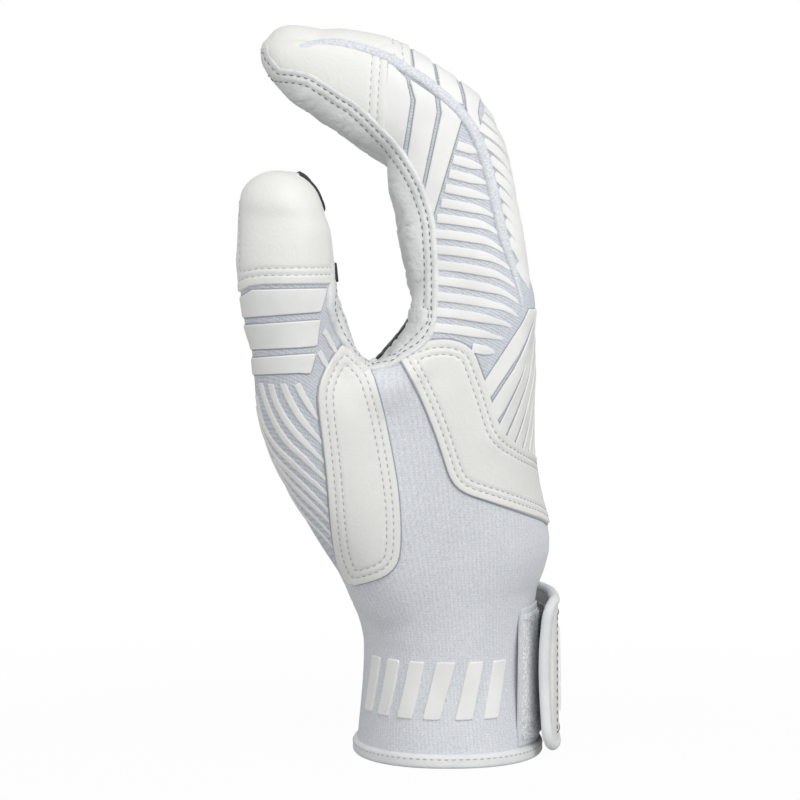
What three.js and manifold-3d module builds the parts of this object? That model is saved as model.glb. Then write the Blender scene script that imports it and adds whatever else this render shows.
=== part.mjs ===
// A right-hand batting glove, standing on its cuff in the half-closed shape of a hand that is about to grip.
// It is sewn from leather palm pieces, stretch-mesh back pieces with raised ribs, a knit wrist panel, lapped
// leather overlays, a bound hem and a hook-and-loop wrist strap.
// Millimetres. +Z runs from the hem to the fingers, +X out of the back of the hand, and -Y towards the thumb.

import * as THREE from "three";
import { mergeVertices } from "three/addons/utils/BufferGeometryUtils.js";
import Module from "manifold-3d";

const wasm = await Module();
wasm.setup();

// Thicknesses of the materials, and the gaps between pieces
const leather = 0.9;
const knit = 1.2;
const mesh = 1.0;
const overlay = 1.0;
const rib = 0.8;
const pad = 0.8;
const strapThickness = 1.8;
const seamGap = 0.4;
const layGap = 0.3;

// The hand inside the glove, as sections from the hem to the knuckles. back and palm are measured from the
// wrist's axis, thenar is how far the ball of the thumb swells the palm's thumb side, and square is the
// section's exponent.
const hem = { height: 0, back: 22.5, palm: 25.5, breadth: 66, thenar: 0, square: 2.2 };
const wrist = { height: 28, back: 20.6, palm: 23.5, breadth: 60, thenar: 0, square: 2.2 };
const heel = { height: 58, back: 23, palm: 25, breadth: 70, thenar: 2, square: 2.4 };
const web = { height: 96, back: 21.5, palm: 14, breadth: 81, thenar: 13, square: 2.8 };
const knuckle = { height: 117, back: 20, palm: 8.5, breadth: 82, thenar: 0, square: 3.2 };
const knuckleSlope = 3.5;

// The wrist panel: its straight upper seam, and the tongue that rises to the fork of the thumb
const wristSeam = 67;
const palmSeam = 50;
const tongueTop = 106;
const tongueAngle = -104;
const tongueSpread = 36;
const ulnarSeam = 95;

// The side overlay's edges, as angles round the hand and heights, and the patch in the fork of the thumb
const sideLower = [[-114, 103], [-106, 91], [-96, 79], [-86, 72], [-66, 68.5], [-20, 64.5], [92, 63]];
const sideUpper = [[-114, 109.5], [-92, 110.5], [-79, 106], [-72, 98], [-50, 88.5], [-15, 80.5], [92, 77]];
const webPatchFrom = -162;
const webPatchTo = -117;
const webPatchLow = 90;
const webPatchHigh = 111;

// The hem binding, the vent under the strap, and the strap with its pads
const bindingHeight = 6.4;
const bindingWall = 1.0;
const ventAngle = 10;
const ventWidth = 5;
const ventTop = 42;
const strapHeight = 36;
const strapFreeAngle = -24;
const strapSewnAngle = 72;
const strapFlare = 1.4;
const edgeRoll = 2.6;
const loopPadFrom = -40;
const loopPadTo = -2;
const hookPadTo = 22;
const padMargin = 3;

// Fingers: four alike in make, set side by side along the knuckles
const fingerPitch = 21;
const fingerWidth = 18;
const fingerTipWidth = 16.4;
const fingerDepth = 28;
const jointDepth = 25;
const tipDepth = 17.5;
const tipDome = 9.5;
const fingerSquare = 2.4;
const fingers = [
  { name: "index", place: -1.5, base: 41, end: 34, scale: 1, tilt: 11, bend: 46, gussets: [1] },
  { name: "middle", place: -0.5, base: 42, end: 34, scale: 1, tilt: 11, bend: 46, gussets: [-1, 1] },
  { name: "ring", place: 0.5, base: 41, end: 33, scale: 0.97, tilt: 11, bend: 43, gussets: [-1, 1] },
  { name: "little", place: 1.5, base: 35, end: 28, scale: 0.86, tilt: 5, bend: 21, gussets: [-1] },
];
const palmEdge = 116;
const gussetEdge = 62;
const fingerRibs = 4;
const fingerBars = 2;
const handRibs = 4;
const handRibSpan = { from: 0.42, to: 0.97 };
const capSeam = 12;

// Thumb: its root grows out of the hand, and its two free lengths bend at the knuckle and the tip joint
const thumbKnuckle = new THREE.Vector3(-40.8, -47, 106);
const thumbRoot = new THREE.Vector3(-8, -17, 44);
const thumbLine = new THREE.Vector3(-6.2, -19, 50);
const thumbBack = new THREE.Vector3(-0.45, -0.89, 0);
const rootLean = new THREE.Vector3(-0.56, -0.36, 0.75);
const rootReach = 26;
const rootDepth = 28;
const rootWidth = 28;
const rootWeb = 10;
const webLine = new THREE.Vector3(0.92, 0.39, 0);
const thumbDepth = 20;
const thumbWidth = 18.6;
const thumbTipDepth = 16;
const thumbTipWidth = 18.2;
const thumbBase = 21;
const thumbEnd = 18.5;
const thumbDome = 8.5;
const thumbTilt = 5;
const thumbSquare = 2.3;
const thumbBars = 3;
const rootRibs = 4;
const rootRibSpan = { from: 0.05, to: 0.5 };
const leafMiddle = 36;
const leafHalfTurn = 36;
const leafTwist = 70;
const leafFoot = 0.13;
const leafHeart = 0.55;

// Facets
const arcStep = 24;
const handStep = 12;
const rollSteps = 32;

const material = (color, roughness) => new THREE.MeshStandardMaterial({ color, roughness, metalness: 0 });
const paleLeather = () => material(0xe9ebe8, 0.55);
const greyLeather = () => material(0xd5d9db, 0.6);
const greyKnit = () => material(0xcdd2de, 0.9);
const ribbedMesh = () => material(0xe4e7f0, 0.75);
const boundEdge = () => material(0xeef1f1, 0.5);
const greyPile = () => material(0x9fa3aa, 1);
const blackGrip = () => material(0x1b1b1d, 0.7);

const rad = THREE.MathUtils.degToRad;
const lerp = THREE.MathUtils.lerp;
const power = (value, square) => Math.sign(value) * Math.abs(value) ** (2 / square);

// A section's back-to-palm and side-to-side shares at angle u, from 0 at the back to 90 at the side
const across = (u, square) => [power(Math.cos(rad(u)), square), power(Math.sin(rad(u)), square)];

// Skins: a point at angle u, v along the piece, and off outside the hand. shift moves it towards the back.

const handStations = [hem, wrist, heel, web, knuckle];
const handKeys = ["back", "palm", "breadth", "thenar", "square"];
const handCurve = new THREE.CubicInterpolant(
  handStations.map((s) => s.height),
  handStations.flatMap((s) => handKeys.map((key) => s[key])),
  handKeys.length,
);

function handSkin(u, z, off) {
  const [back, palm, breadth, thenar, square] = handCurve.evaluate(z);
  const [c, s] = across(u, square);
  const swell = thenar * Math.max(0, Math.cos(rad(u + 135))) ** 2;
  return new THREE.Vector3(
    (back - palm) / 2 + ((back + palm) / 2 + off) * c - swell,
    (breadth / 2 + off) * s,
    z,
  );
}

// A straight tube on the back side of its crease line, with a rounded tip past its length if it has a dome
function tubeSkin({ length, dome, depth, width, square }) {
  return (u, v, off, shift = 0) => {
    const share = Math.min(v / length, 1) ** 2;
    const halfDepth = lerp(depth[0], depth[1], share) / 2;
    const halfWidth = lerp(width[0], width[1], share) / 2;
    const turn = dome ? (Math.max(0, v - length) / dome) * (Math.PI / 2) : 0;
    const [c, s] = across(u, square);
    return new THREE.Vector3(
      leather + halfDepth + (halfDepth + off) * c * Math.cos(turn) + shift,
      (halfWidth + off) * s * Math.cos(turn),
      Math.min(v, length) + (turn ? (dome + off) * Math.sin(turn) : 0),
    );
  };
}

// The wedge that opens behind a crease: v is the angle turned about the crease line
function wedgeSkin(section) {
  return (u, v, off) => {
    const p = section(u, 0, off);
    return new THREE.Vector3(p.x * Math.cos(v), p.y, p.x * Math.sin(v));
  };
}

// Panels: closed solids between an inner and an outer skin

const steps = (from, to, step) => {
  const list = [from];
  for (let u = Math.floor(from / step + 1) * step; u < to - 1e-6; u += step) if (u > from + 1) list.push(u);
  if (list.length > 1 && to - list.at(-1) < 1) list.pop();
  return [...list, to];
};
const plain = (list) => list.map((at) => ({ at, lift: 0, raise: 1 }));
const shares = (low, list) => plain(list.map((v) => (v - low) / (list.at(-1) - low)));
const even = (count) => plain(Array.from({ length: count + 1 }, (_, i) => i / count));

// Stations for raised ribs or flat-topped bars, each filling a share of its pitch
function raised(count, { from = 0, to = 1, fill, crest }) {
  const pitch = (to - from) / count;
  const across = Array.from({ length: count }, (_, i) => {
    const start = from + pitch * (i + (1 - fill) / 2);
    const tops = crest.map((share) => ({ at: start + pitch * fill * share, lift: rib }));
    return [{ at: start, lift: 0 }, ...tops, { at: start + pitch * fill, lift: 0 }];
  });
  return [{ at: 0, lift: 0 }, ...across.flat(), { at: 1, lift: 0 }];
}
const ribs = (count, span) => raised(count, { ...span, fill: 0.6, crest: [0.5] });
const bars = (count, span) => raised(count, { ...span, fill: 0.8, crest: [0.08, 0.92] });

function geometryOf(triangles) {
  const flat = triangles.flatMap((t) => t.flatMap((p) => p.toArray()));
  const soup = new THREE.BufferGeometry().setAttribute("position", new THREE.Float32BufferAttribute(flat, 3));
  const merged = mergeVertices(soup, 1e-4);
  const index = merged.index.array;
  const kept = [];
  for (let i = 0; i < index.length; i += 3) {
    const [a, b, c] = index.slice(i, i + 3);
    if (a !== b && b !== c && a !== c) kept.push(a, b, c);
  }
  return merged.setIndex(kept);
}

const facing = (triangles) => {
  const volume = triangles.reduce((sum, [a, b, c]) => sum + a.dot(b.clone().cross(c)), 0);
  return volume < 0 ? triangles.map(([a, b, c]) => [a, c, b]) : triangles;
};

function panel({ skin, columns, rows, low, high, inner, outer, shift = 0, ring = false }) {
  const grid = (off, lifted) =>
    rows.map((row) =>
      columns.map((column) => {
        const v = lerp(low(column.at), high(column.at), row.at);
        const lift = lifted ? Math.max(row.lift * column.raise, column.lift) : 0;
        return skin(column.at, v, off + lift, shift);
      }),
    );
  const out = grid(outer, true);
  const into = grid(inner, false);
  const triangles = [];
  const quad = (a, b, c, d) => triangles.push([a, b, c], [a, c, d]);
  const top = rows.length - 1;
  const last = columns.length - 1;
  for (let j = 0; j < top; j++) {
    for (let i = 0; i < last; i++) {
      quad(out[j][i], out[j][i + 1], out[j + 1][i + 1], out[j + 1][i]);
      quad(into[j][i], into[j + 1][i], into[j + 1][i + 1], into[j][i + 1]);
    }
    if (ring) continue;
    quad(out[j][0], out[j + 1][0], into[j + 1][0], into[j][0]);
    quad(out[j][last], into[j][last], into[j + 1][last], out[j + 1][last]);
  }
  for (let i = 0; i < last; i++) {
    quad(out[0][i], into[0][i], into[0][i + 1], out[0][i + 1]);
    quad(out[top][i], out[top][i + 1], into[top][i + 1], into[top][i]);
  }
  return geometryOf(facing(triangles));
}

// A closed outline of [off, z] points swept round the hand
function handHoop(outline) {
  const columns = steps(-180, 180, handStep);
  const rings = columns.map((u) => outline.map(([off, z]) => handSkin(u, z, off)));
  const triangles = [];
  for (let i = 0; i < rings.length - 1; i++) {
    for (let k = 0; k < outline.length; k++) {
      const next = (k + 1) % outline.length;
      triangles.push([rings[i][k], rings[i + 1][k], rings[i + 1][next]]);
      triangles.push([rings[i][k], rings[i + 1][next], rings[i][next]]);
    }
  }
  return geometryOf(facing(triangles));
}

// Booleans

function solidOf(geometry) {
  const bare = geometry.clone();
  for (const name of Object.keys(bare.attributes)) if (name !== "position") bare.deleteAttribute(name);
  const merged = mergeVertices(bare, 1e-4);
  return new wasm.Manifold(
    new wasm.Mesh({
      numProp: 3,
      vertProperties: merged.attributes.position.array,
      triVerts: new Uint32Array(merged.index.array),
    }),
  );
}

// What is left of a piece outside the cutters, without the offcuts that fall inside the hand
function trimmed(geometry, ...cutters) {
  const left = cutters.reduce((solid, cutter) => solid.subtract(solidOf(cutter)), solidOf(geometry));
  const main = left.decompose().reduce((a, b) => (a.volume() > b.volume() ? a : b));
  const { vertProperties, triVerts } = main.getMesh();
  return new THREE.BufferGeometry()
    .setAttribute("position", new THREE.BufferAttribute(vertProperties, 3))
    .setIndex(new THREE.BufferAttribute(triVerts, 1));
}

// The filled shape inside a skin at a given offset, between two levels of v
function filled(skin, low, high, off, step, count) {
  const columns = steps(-180, 180, step);
  const levels = Array.from({ length: count + 1 }, (_, i) => lerp(low, high, i / count));
  const rings = levels.map((v) => columns.map((u) => skin(u, v, off)));
  const middle = (ring) => {
    const sum = ring.slice(1).reduce((total, p) => total.add(p), new THREE.Vector3());
    return sum.divideScalar(columns.length - 1);
  };
  const [foot, head] = [middle(rings[0]), middle(rings[count])];
  const triangles = [];
  for (let i = 0; i < columns.length - 1; i++) {
    triangles.push([foot, rings[0][i + 1], rings[0][i]], [head, rings[count][i], rings[count][i + 1]]);
    for (let j = 0; j < count; j++) {
      triangles.push([rings[j][i], rings[j][i + 1], rings[j + 1][i + 1]]);
      triangles.push([rings[j][i], rings[j + 1][i + 1], rings[j + 1][i]]);
    }
  }
  return geometryOf(facing(triangles));
}

// Assembly

const glove = new THREE.Group();
const addTo = (group, name, geometry, finish) => {
  const piece = new THREE.Mesh(geometry, finish);
  piece.name = name;
  group.add(piece);
};
const handColumns = (from, to) => plain(steps(from, to, handStep));
const tubeColumns = (from, to) => plain(steps(from, to, arcStep));
const level = (value) => () => value;

// Hand: the wrist panel's seam line, and the slanted line of the knuckles

const tongueRise = (u) => {
  const share = Math.min(1, Math.abs(u - tongueAngle) / tongueSpread);
  return Math.cos((share * Math.PI) / 2) ** 2;
};
const wristTop = (u) => {
  const turn = u > 180 + tongueAngle + tongueSpread ? u - 360 : u;
  const seam = lerp(wristSeam, palmSeam, THREE.MathUtils.smoothstep(-Math.cos(rad(u)), -0.1, 0.9));
  return Math.max(seam, lerp(seam, tongueTop, tongueRise(turn)));
};
const aboveWrist = (u) => {
  const reach = handSkin(u + 1, wristTop(u), 0).distanceTo(handSkin(u, wristTop(u), 0));
  const slope = (wristTop(u + 0.5) - wristTop(u - 0.5)) / reach;
  return wristTop(u) + seamGap * Math.hypot(1, slope) * 2;
};
const knuckleLine = (u) => {
  const side = handSkin(u, knuckle.height, 0).y;
  return knuckle.height - Math.tan(rad(knuckleSlope)) * side - seamGap;
};

// Thumb root: a tube along a curve that leaves the heel of the hand and ends square to the thumb

const thumbAxis = thumbLine.clone().normalize();
const dorsal = thumbBack.clone().addScaledVector(thumbAxis, -thumbBack.dot(thumbAxis)).normalize();
const rootCurve = new THREE.CubicBezierCurve3(
  thumbRoot,
  thumbRoot.clone().addScaledVector(rootLean.clone().normalize(), rootReach),
  thumbKnuckle.clone().addScaledVector(thumbAxis, -rootReach),
  thumbKnuckle,
);
const rootLength = rootCurve.getLength();

function rootSkin(u, v, off, shift = 0) {
  const share = v / rootLength;
  const centre = rootCurve.getPointAt(share);
  const along = rootCurve.getTangentAt(share);
  const back = dorsal.clone().addScaledVector(along, -dorsal.dot(along)).normalize();
  const side = along.clone().cross(back);
  const [c, s] = across(u, thumbSquare);
  const halfDepth = lerp(rootDepth, thumbDepth, share) / 2;
  const halfWidth = lerp(rootWidth, thumbWidth, share) / 2;
  const webbed = rootWeb * Math.max(0, s) ** 2 * THREE.MathUtils.smoothstep(1 - share, 0, 0.18);
  return centre
    .addScaledVector(back, (halfDepth + off) * c + shift)
    .addScaledVector(side, (halfWidth + off) * s)
    .addScaledVector(webLine, webbed);
}

const rootTop = rootLength - seamGap;
const rootHollow = filled(rootSkin, 0, rootLength, 0, arcStep, 10);
const rootClear = filled(rootSkin, 0, rootLength, leather + rib + layGap + overlay + seamGap, arcStep, 10);
const handHollow = filled(handSkin, hem.height, knuckle.height, 0, handStep, 16);

// Wrist panel, with the vent that lets the hand in cut through it and the hem

const ventSide = handSkin(ventAngle, wrist.height, 0).y;
const ventBox = new THREE.BoxGeometry(hem.back * 2, ventWidth, ventTop * 2);
const vent = ventBox.translate(hem.back * 1.5, ventSide, 0);
const hemFold = bindingWall + layGap;

const wristPiece = panel({
  skin: handSkin,
  columns: handColumns(-180, 180),
  rows: even(7),
  low: level(hemFold),
  high: wristTop,
  inner: 0,
  outer: knit,
  ring: true,
});
addTo(glove, "wrist_panel", trimmed(wristPiece, rootHollow, vent), greyKnit());
addTo(
  glove,
  "cuff_binding",
  trimmed(
    handHoop([
      [-layGap - bindingWall, 0],
      [knit + layGap + bindingWall, 0],
      [knit + layGap + bindingWall, bindingHeight],
      [knit + layGap, bindingHeight],
      [knit + layGap, bindingWall],
      [-layGap, bindingWall],
      [-layGap, bindingHeight],
      [-layGap - bindingWall, bindingHeight],
    ]),
    vent,
  ),
  boundEdge(),
);

// Palm and back of the hand

const seamTurn = THREE.MathUtils.radToDeg(seamGap / (knuckle.breadth / 2));
const palmPiece = panel({
  skin: handSkin,
  columns: handColumns(ulnarSeam + seamTurn, 360 + tongueAngle - seamTurn),
  rows: even(8),
  low: aboveWrist,
  high: knuckleLine,
  inner: 0,
  outer: leather,
});
addTo(glove, "palm_panel", trimmed(palmPiece, rootHollow), greyLeather());
addTo(
  glove,
  "back_panel",
  panel({
    skin: handSkin,
    columns: handColumns(tongueAngle + seamTurn, ulnarSeam - seamTurn),
    rows: ribs(handRibs, handRibSpan),
    low: aboveWrist,
    high: knuckleLine,
    inner: 0,
    outer: mesh,
  }),
  ribbedMesh(),
);

// Overlays on the hand: the side overlay bends from the fork of the thumb across the back of the hand

const line = (points) => {
  const curve = new THREE.CubicInterpolant(points.map((p) => p[0]), points.map((p) => p[1]), 1);
  return (u) => curve.evaluate(u)[0];
};
const overMesh = mesh + rib + layGap;
addTo(
  glove,
  "side_overlay",
  trimmed(
    panel({
      skin: handSkin,
      columns: handColumns(sideLower[0][0], sideLower.at(-1)[0]),
      rows: even(3),
      low: line(sideLower),
      high: line(sideUpper),
      inner: overMesh,
      outer: overMesh + overlay,
    }),
    rootClear,
  ),
  paleLeather(),
);
addTo(
  glove,
  "web_patch",
  trimmed(
    panel({
      skin: handSkin,
      columns: handColumns(webPatchFrom, webPatchTo),
      rows: even(4),
      low: level(webPatchLow),
      high: level(webPatchHigh),
      inner: leather + seamGap,
      outer: leather + seamGap + overlay,
    }),
    rootClear,
  ),
  greyLeather(),
);

// Thumb root

// The hand's pieces, also moved out by the lay gap on the sides that the root meets
const clearance = [[0, 0, 0], [-layGap, 0, 0], [0, -layGap, 0], [0, 0, layGap]];
const cleared = (geometry) => clearance.map((step) => geometry.clone().translate(...step));
const handBlocks = [handHollow, ...cleared(wristPiece), ...cleared(palmPiece)];
addTo(
  glove,
  "thumb_root_palm",
  trimmed(
    panel({
      skin: rootSkin,
      columns: tubeColumns(palmEdge, 360 - palmEdge),
      rows: even(6),
      low: level(0),
      high: level(rootTop),
      inner: 0,
      outer: leather,
      shift: -seamGap,
    }),
    ...handBlocks,
  ),
  greyLeather(),
);
const rootColumns = ribs(rootRibs, rootRibSpan).map(({ at, lift }) => {
  return { at: lerp(-palmEdge, palmEdge, at), lift, raise: 1 };
});
addTo(
  glove,
  "thumb_root_back",
  trimmed(
    panel({
      skin: rootSkin,
      columns: rootColumns,
      rows: even(6),
      low: level(0),
      high: level(rootTop),
      inner: 0,
      outer: mesh,
    }),
    ...handBlocks,
  ),
  ribbedMesh(),
);
const leafSpan = (u) => Math.sqrt(Math.max(0.02, 1 - ((u - leafMiddle) / leafHalfTurn) ** 2)) ** 0.7;
addTo(
  glove,
  "thumb_overlay",
  trimmed(
    panel({
      skin: (u, v, off) => rootSkin(u + leafTwist * (v / rootLength - 0.5), v, off),
      columns: tubeColumns(leafMiddle - leafHalfTurn, leafMiddle + leafHalfTurn),
      rows: even(6),
      low: (u) => rootLength * (leafHeart - (leafHeart - leafFoot) * leafSpan(u)),
      high: (u) => rootLength * (leafHeart + (0.98 - leafHeart) * leafSpan(u)),
      inner: overMesh,
      outer: overMesh + overlay,
    }),
    ...handBlocks,
  ),
  paleLeather(),
);

// A jointed length of finger or thumb: leather in front, mesh behind, gussets where it faces another finger

const tipRows = (low, length, dome) => {
  const round = [0.35, 0.65, 0.87, 1].map((share) => length + dome * share);
  return shares(low, [low, lerp(low, length, 1 / 3), lerp(low, length, 2 / 3), length, ...round]);
};

function frontPanel(group, name, skin, low, high, rows) {
  const geometry = panel({
    skin,
    columns: tubeColumns(palmEdge, 360 - palmEdge),
    rows,
    low: level(low),
    high: level(high),
    inner: 0,
    outer: leather,
    shift: -seamGap,
  });
  addTo(group, name, geometry, greyLeather());
}

// The back's ribs stop short of a side that faces another finger
function backPanel(group, name, { skin, arc, low, high, rows, finish, flatSides = [] }) {
  const flat = (u) => Math.abs(u) > gussetEdge && flatSides.includes(Math.sign(u));
  const columns = tubeColumns(...arc).map((column) => ({ ...column, raise: flat(column.at) ? 0 : 1 }));
  const geometry = panel({
    skin,
    columns,
    rows,
    low: level(low),
    high: level(high),
    inner: 0,
    outer: mesh,
  });
  addTo(group, name, geometry, finish);
}

function flexPanel(group, name, section, bend, edge) {
  const depthAt = (u) => section(u, 0, 0).x;
  const geometry = panel({
    skin: wedgeSkin(section),
    columns: tubeColumns(-edge, edge),
    rows: even(Math.max(2, Math.round(bend / 12))),
    low: (u) => seamGap / depthAt(u),
    high: (u) => rad(bend) - seamGap / depthAt(u),
    inner: 0,
    outer: mesh,
  });
  addTo(group, name, geometry, ribbedMesh());
}

// A crease that a length of the glove turns about: it swings from the group's +Z towards the palm
function crease(parent, name, place, bend) {
  const seat = new THREE.Group();
  seat.position.copy(place);
  parent.add(seat);
  const turned = new THREE.Group();
  turned.name = name;
  turned.rotation.y = -rad(bend);
  seat.add(turned);
  return { seat, turned };
}

const knuckleRow = new THREE.Group();
knuckleRow.position.set(-knuckle.palm - leather, 0, knuckle.height);
knuckleRow.rotation.x = -rad(knuckleSlope);
glove.add(knuckleRow);

const backArc = [-palmEdge, palmEdge];
const gussetSides = { "-1": "thumb_side", 1: "far_side" };

function addFinger({ name, place, base, end, scale, tilt, bend, gussets }) {
  const baseSkin = tubeSkin({
    length: base,
    depth: [fingerDepth * scale, jointDepth * scale],
    width: [fingerWidth * scale, fingerWidth * scale],
    square: fingerSquare,
  });
  const endSkin = tubeSkin({
    length: end,
    dome: tipDome * scale,
    depth: [jointDepth * scale, tipDepth * scale],
    width: [fingerWidth * scale, fingerTipWidth * scale],
    square: fingerSquare,
  });
  const at = new THREE.Vector3(0, place * fingerPitch, 0);
  const root = crease(knuckleRow, `${name}_knuckle`, at, tilt);
  flexPanel(root.seat, `${name}_knuckle_flex`, baseSkin, tilt, gussetEdge);
  frontPanel(root.turned, `${name}_base_palm`, baseSkin, seamGap, base - seamGap, even(3));
  const thumbSide = gussets.includes(-1) ? -gussetEdge : -palmEdge;
  const farSide = gussets.includes(1) ? gussetEdge : palmEdge;
  backPanel(root.turned, `${name}_base_back`, {
    skin: baseSkin,
    arc: [thumbSide, farSide],
    low: seamGap,
    high: base - seamGap,
    rows: ribs(fingerRibs),
    finish: ribbedMesh(),
  });
  for (const side of gussets) {
    const [from, to] = side < 0 ? [-palmEdge, -gussetEdge] : [gussetEdge, palmEdge];
    const geometry = panel({
      skin: baseSkin,
      columns: tubeColumns(from, to),
      rows: even(3),
      low: level(seamGap),
      high: level(base - seamGap),
      inner: 0,
      outer: mesh,
      shift: -seamGap / 2,
    });
    addTo(root.turned, `${name}_${gussetSides[side]}_gusset`, geometry, greyKnit());
  }

  const joint = crease(root.turned, `${name}_joint`, new THREE.Vector3(0, 0, base), bend);
  flexPanel(joint.seat, `${name}_joint_flex`, endSkin, bend, palmEdge - 4);
  const tip = end + tipDome * scale;
  const tipPalm = tipRows(seamGap, end, tipDome * scale);
  frontPanel(joint.turned, `${name}_end_palm`, endSkin, seamGap, tip, tipPalm);
  const barTop = capSeam * scale;
  backPanel(joint.turned, `${name}_end_back`, {
    skin: endSkin,
    arc: backArc,
    low: seamGap,
    high: barTop,
    rows: bars(fingerBars),
    finish: ribbedMesh(),
    flatSides: gussets,
  });
  const capLow = barTop + seamGap;
  backPanel(joint.turned, `${name}_tip_cap`, {
    skin: endSkin,
    arc: backArc,
    low: capLow,
    high: tip,
    rows: tipRows(capLow, end, tipDome * scale),
    finish: paleLeather(),
  });
}
fingers.forEach(addFinger);

// Thumb: two free lengths on the root's end

const thumbSeat = new THREE.Group();
const thumbSide = thumbAxis.clone().cross(dorsal);
thumbSeat.quaternion.setFromRotationMatrix(new THREE.Matrix4().makeBasis(dorsal, thumbSide, thumbAxis));
thumbSeat.position.copy(thumbKnuckle).addScaledVector(dorsal, -thumbDepth / 2 - leather);
glove.add(thumbSeat);

const thumbBaseSkin = tubeSkin({
  length: thumbBase,
  depth: [thumbDepth, thumbDepth],
  width: [thumbWidth, thumbWidth],
  square: thumbSquare,
});
const thumbEndSkin = tubeSkin({
  length: thumbEnd,
  dome: thumbDome,
  depth: [thumbDepth, thumbTipDepth],
  width: [thumbWidth, thumbTipWidth],
  square: thumbSquare,
});
const thumbTip = thumbEnd + thumbDome;
const thumbFlexEdge = 84;

const thumbLow = crease(thumbSeat, "thumb_knuckle", new THREE.Vector3(), thumbTilt);
flexPanel(thumbLow.seat, "thumb_knuckle_flex", thumbBaseSkin, thumbTilt, thumbFlexEdge);
frontPanel(thumbLow.turned, "thumb_base_palm", thumbBaseSkin, seamGap, thumbBase - seamGap, even(2));
backPanel(thumbLow.turned, "thumb_base_back", {
  skin: thumbBaseSkin,
  arc: backArc,
  low: seamGap,
  high: thumbBase - seamGap,
  rows: bars(thumbBars),
  finish: ribbedMesh(),
});

const thumbHigh = crease(thumbLow.turned, "thumb_joint", new THREE.Vector3(0, 0, thumbBase), thumbTilt);
flexPanel(thumbHigh.seat, "thumb_joint_flex", thumbEndSkin, thumbTilt, thumbFlexEdge);
const thumbRows = tipRows(seamGap, thumbEnd, thumbDome);
frontPanel(thumbHigh.turned, "thumb_end_palm", thumbEndSkin, seamGap, thumbTip, thumbRows);
backPanel(thumbHigh.turned, "thumb_tip_cap", {
  skin: thumbEndSkin,
  arc: backArc,
  low: seamGap,
  high: thumbTip,
  rows: thumbRows,
  finish: paleLeather(),
});
addTo(
  thumbHigh.turned,
  "thumb_grip",
  panel({
    skin: thumbEndSkin,
    columns: tubeColumns(palmEdge + 12, 360 - palmEdge - 12),
    rows: even(2),
    low: level(lerp(seamGap, thumbEnd, 1 / 3)),
    high: level(thumbEnd),
    inner: leather + layGap,
    outer: leather + layGap + overlay / 2,
    shift: -seamGap,
  }),
  blackGrip(),
);

// Wrist strap: a band across the back of the wrist, sewn at its far end, with a rolled edge and a hook pad
// that presses on the loop pad

const loopTop = knit + layGap + pad;
const hookTop = loopTop + layGap + pad;
const bandOver = hookTop + layGap;
const bandSewn = knit + layGap + (edgeRoll - strapThickness) / 2 + layGap;
const strapLow = bindingHeight + layGap + edgeRoll + layGap;
const strapHigh = strapLow + strapHeight;
const smooth = THREE.MathUtils.smoothstep;
const bandLift = (u) => {
  const flare = strapFlare * (1 - smooth(u, strapFreeAngle, 0));
  return lerp(bandOver, bandSewn, smooth(u, hookPadTo + 4, strapSewnAngle - 10)) + flare;
};
const strapSkin = (u, z, off) => handSkin(u, z, off + bandLift(u));
const hookSkin = (u, z, off) => handSkin(u, z, off + bandLift(u) - layGap - pad);

addTo(
  glove,
  "loop_pad",
  panel({
    skin: handSkin,
    columns: handColumns(loopPadFrom, loopPadTo),
    rows: even(5),
    low: level(strapLow + padMargin),
    high: level(strapHigh - padMargin),
    inner: knit + layGap,
    outer: loopTop,
  }),
  greyPile(),
);

// The strap peels open about the outer edge of its sewn end
const strap = new THREE.Group();
strap.name = "strap_peel";
strap.position.copy(strapSkin(strapSewnAngle, (strapLow + strapHigh) / 2, strapThickness));
glove.add(strap);
const addToStrap = (name, geometry, finish) => {
  const { x, y, z } = strap.position;
  addTo(strap, name, geometry.translate(-x, -y, -z), finish);
};

addToStrap(
  "strap_band",
  panel({
    skin: strapSkin,
    columns: handColumns(strapFreeAngle, strapSewnAngle),
    rows: even(5),
    low: level(strapLow),
    high: level(strapHigh),
    inner: 0,
    outer: strapThickness,
  }),
  ribbedMesh(),
);
addToStrap(
  "hook_pad",
  panel({
    skin: hookSkin,
    columns: handColumns(strapFreeAngle + 3, hookPadTo),
    rows: even(5),
    low: level(strapLow + padMargin),
    high: level(strapHigh - padMargin),
    inner: 0,
    outer: pad,
  }),
  greyPile(),
);

// The strap's rolled edge runs along its lower side, round the free end and back along its upper side
const rollTurn = THREE.MathUtils.radToDeg((edgeRoll / 2 + layGap) / (hem.breadth / 2));
const rollAt = (u, z) => strapSkin(u, z, strapThickness / 2);
const rollLow = strapLow - layGap - edgeRoll / 2;
const rollHigh = strapHigh + layGap + edgeRoll / 2;
const rollAngles = steps(strapFreeAngle, strapSewnAngle, handStep);
const rollEnd = strapFreeAngle - rollTurn * 1.35;
const rollRoute = [
  ...rollAngles.toReversed().map((u) => rollAt(u, rollLow)),
  ...[0.01, 0.35, 0.65, 0.99].map((share) => rollAt(rollEnd, lerp(strapLow, strapHigh, share))),
  ...rollAngles.map((u) => rollAt(u, rollHigh)),
];
const rollSection = new THREE.Shape().absellipse(0, 0, edgeRoll / 2, edgeRoll / 2, 0, Math.PI * 2);
addToStrap(
  "strap_binding",
  new THREE.ExtrudeGeometry(rollSection, {
    extrudePath: new THREE.CatmullRomCurve3(rollRoute, false, "centripetal"),
    steps: rollSteps,
    curveSegments: 4,
  }),
  boundEdge(),
);

// The part stands on its hem, with the origin under the middle of its box
const box = new THREE.Box3().setFromObject(glove, true);
const middle = box.getCenter(new THREE.Vector3());
glove.position.set(-middle.x, -middle.y, -box.min.z);

export default glove;
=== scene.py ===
"""A right-hand batting glove that stands on its cuff, half closed, as a hand would hold it to take a grip."""

import math

import bpy
import numpy as np
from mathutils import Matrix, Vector, noise
from mathutils.bvhtree import BVHTree


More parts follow.
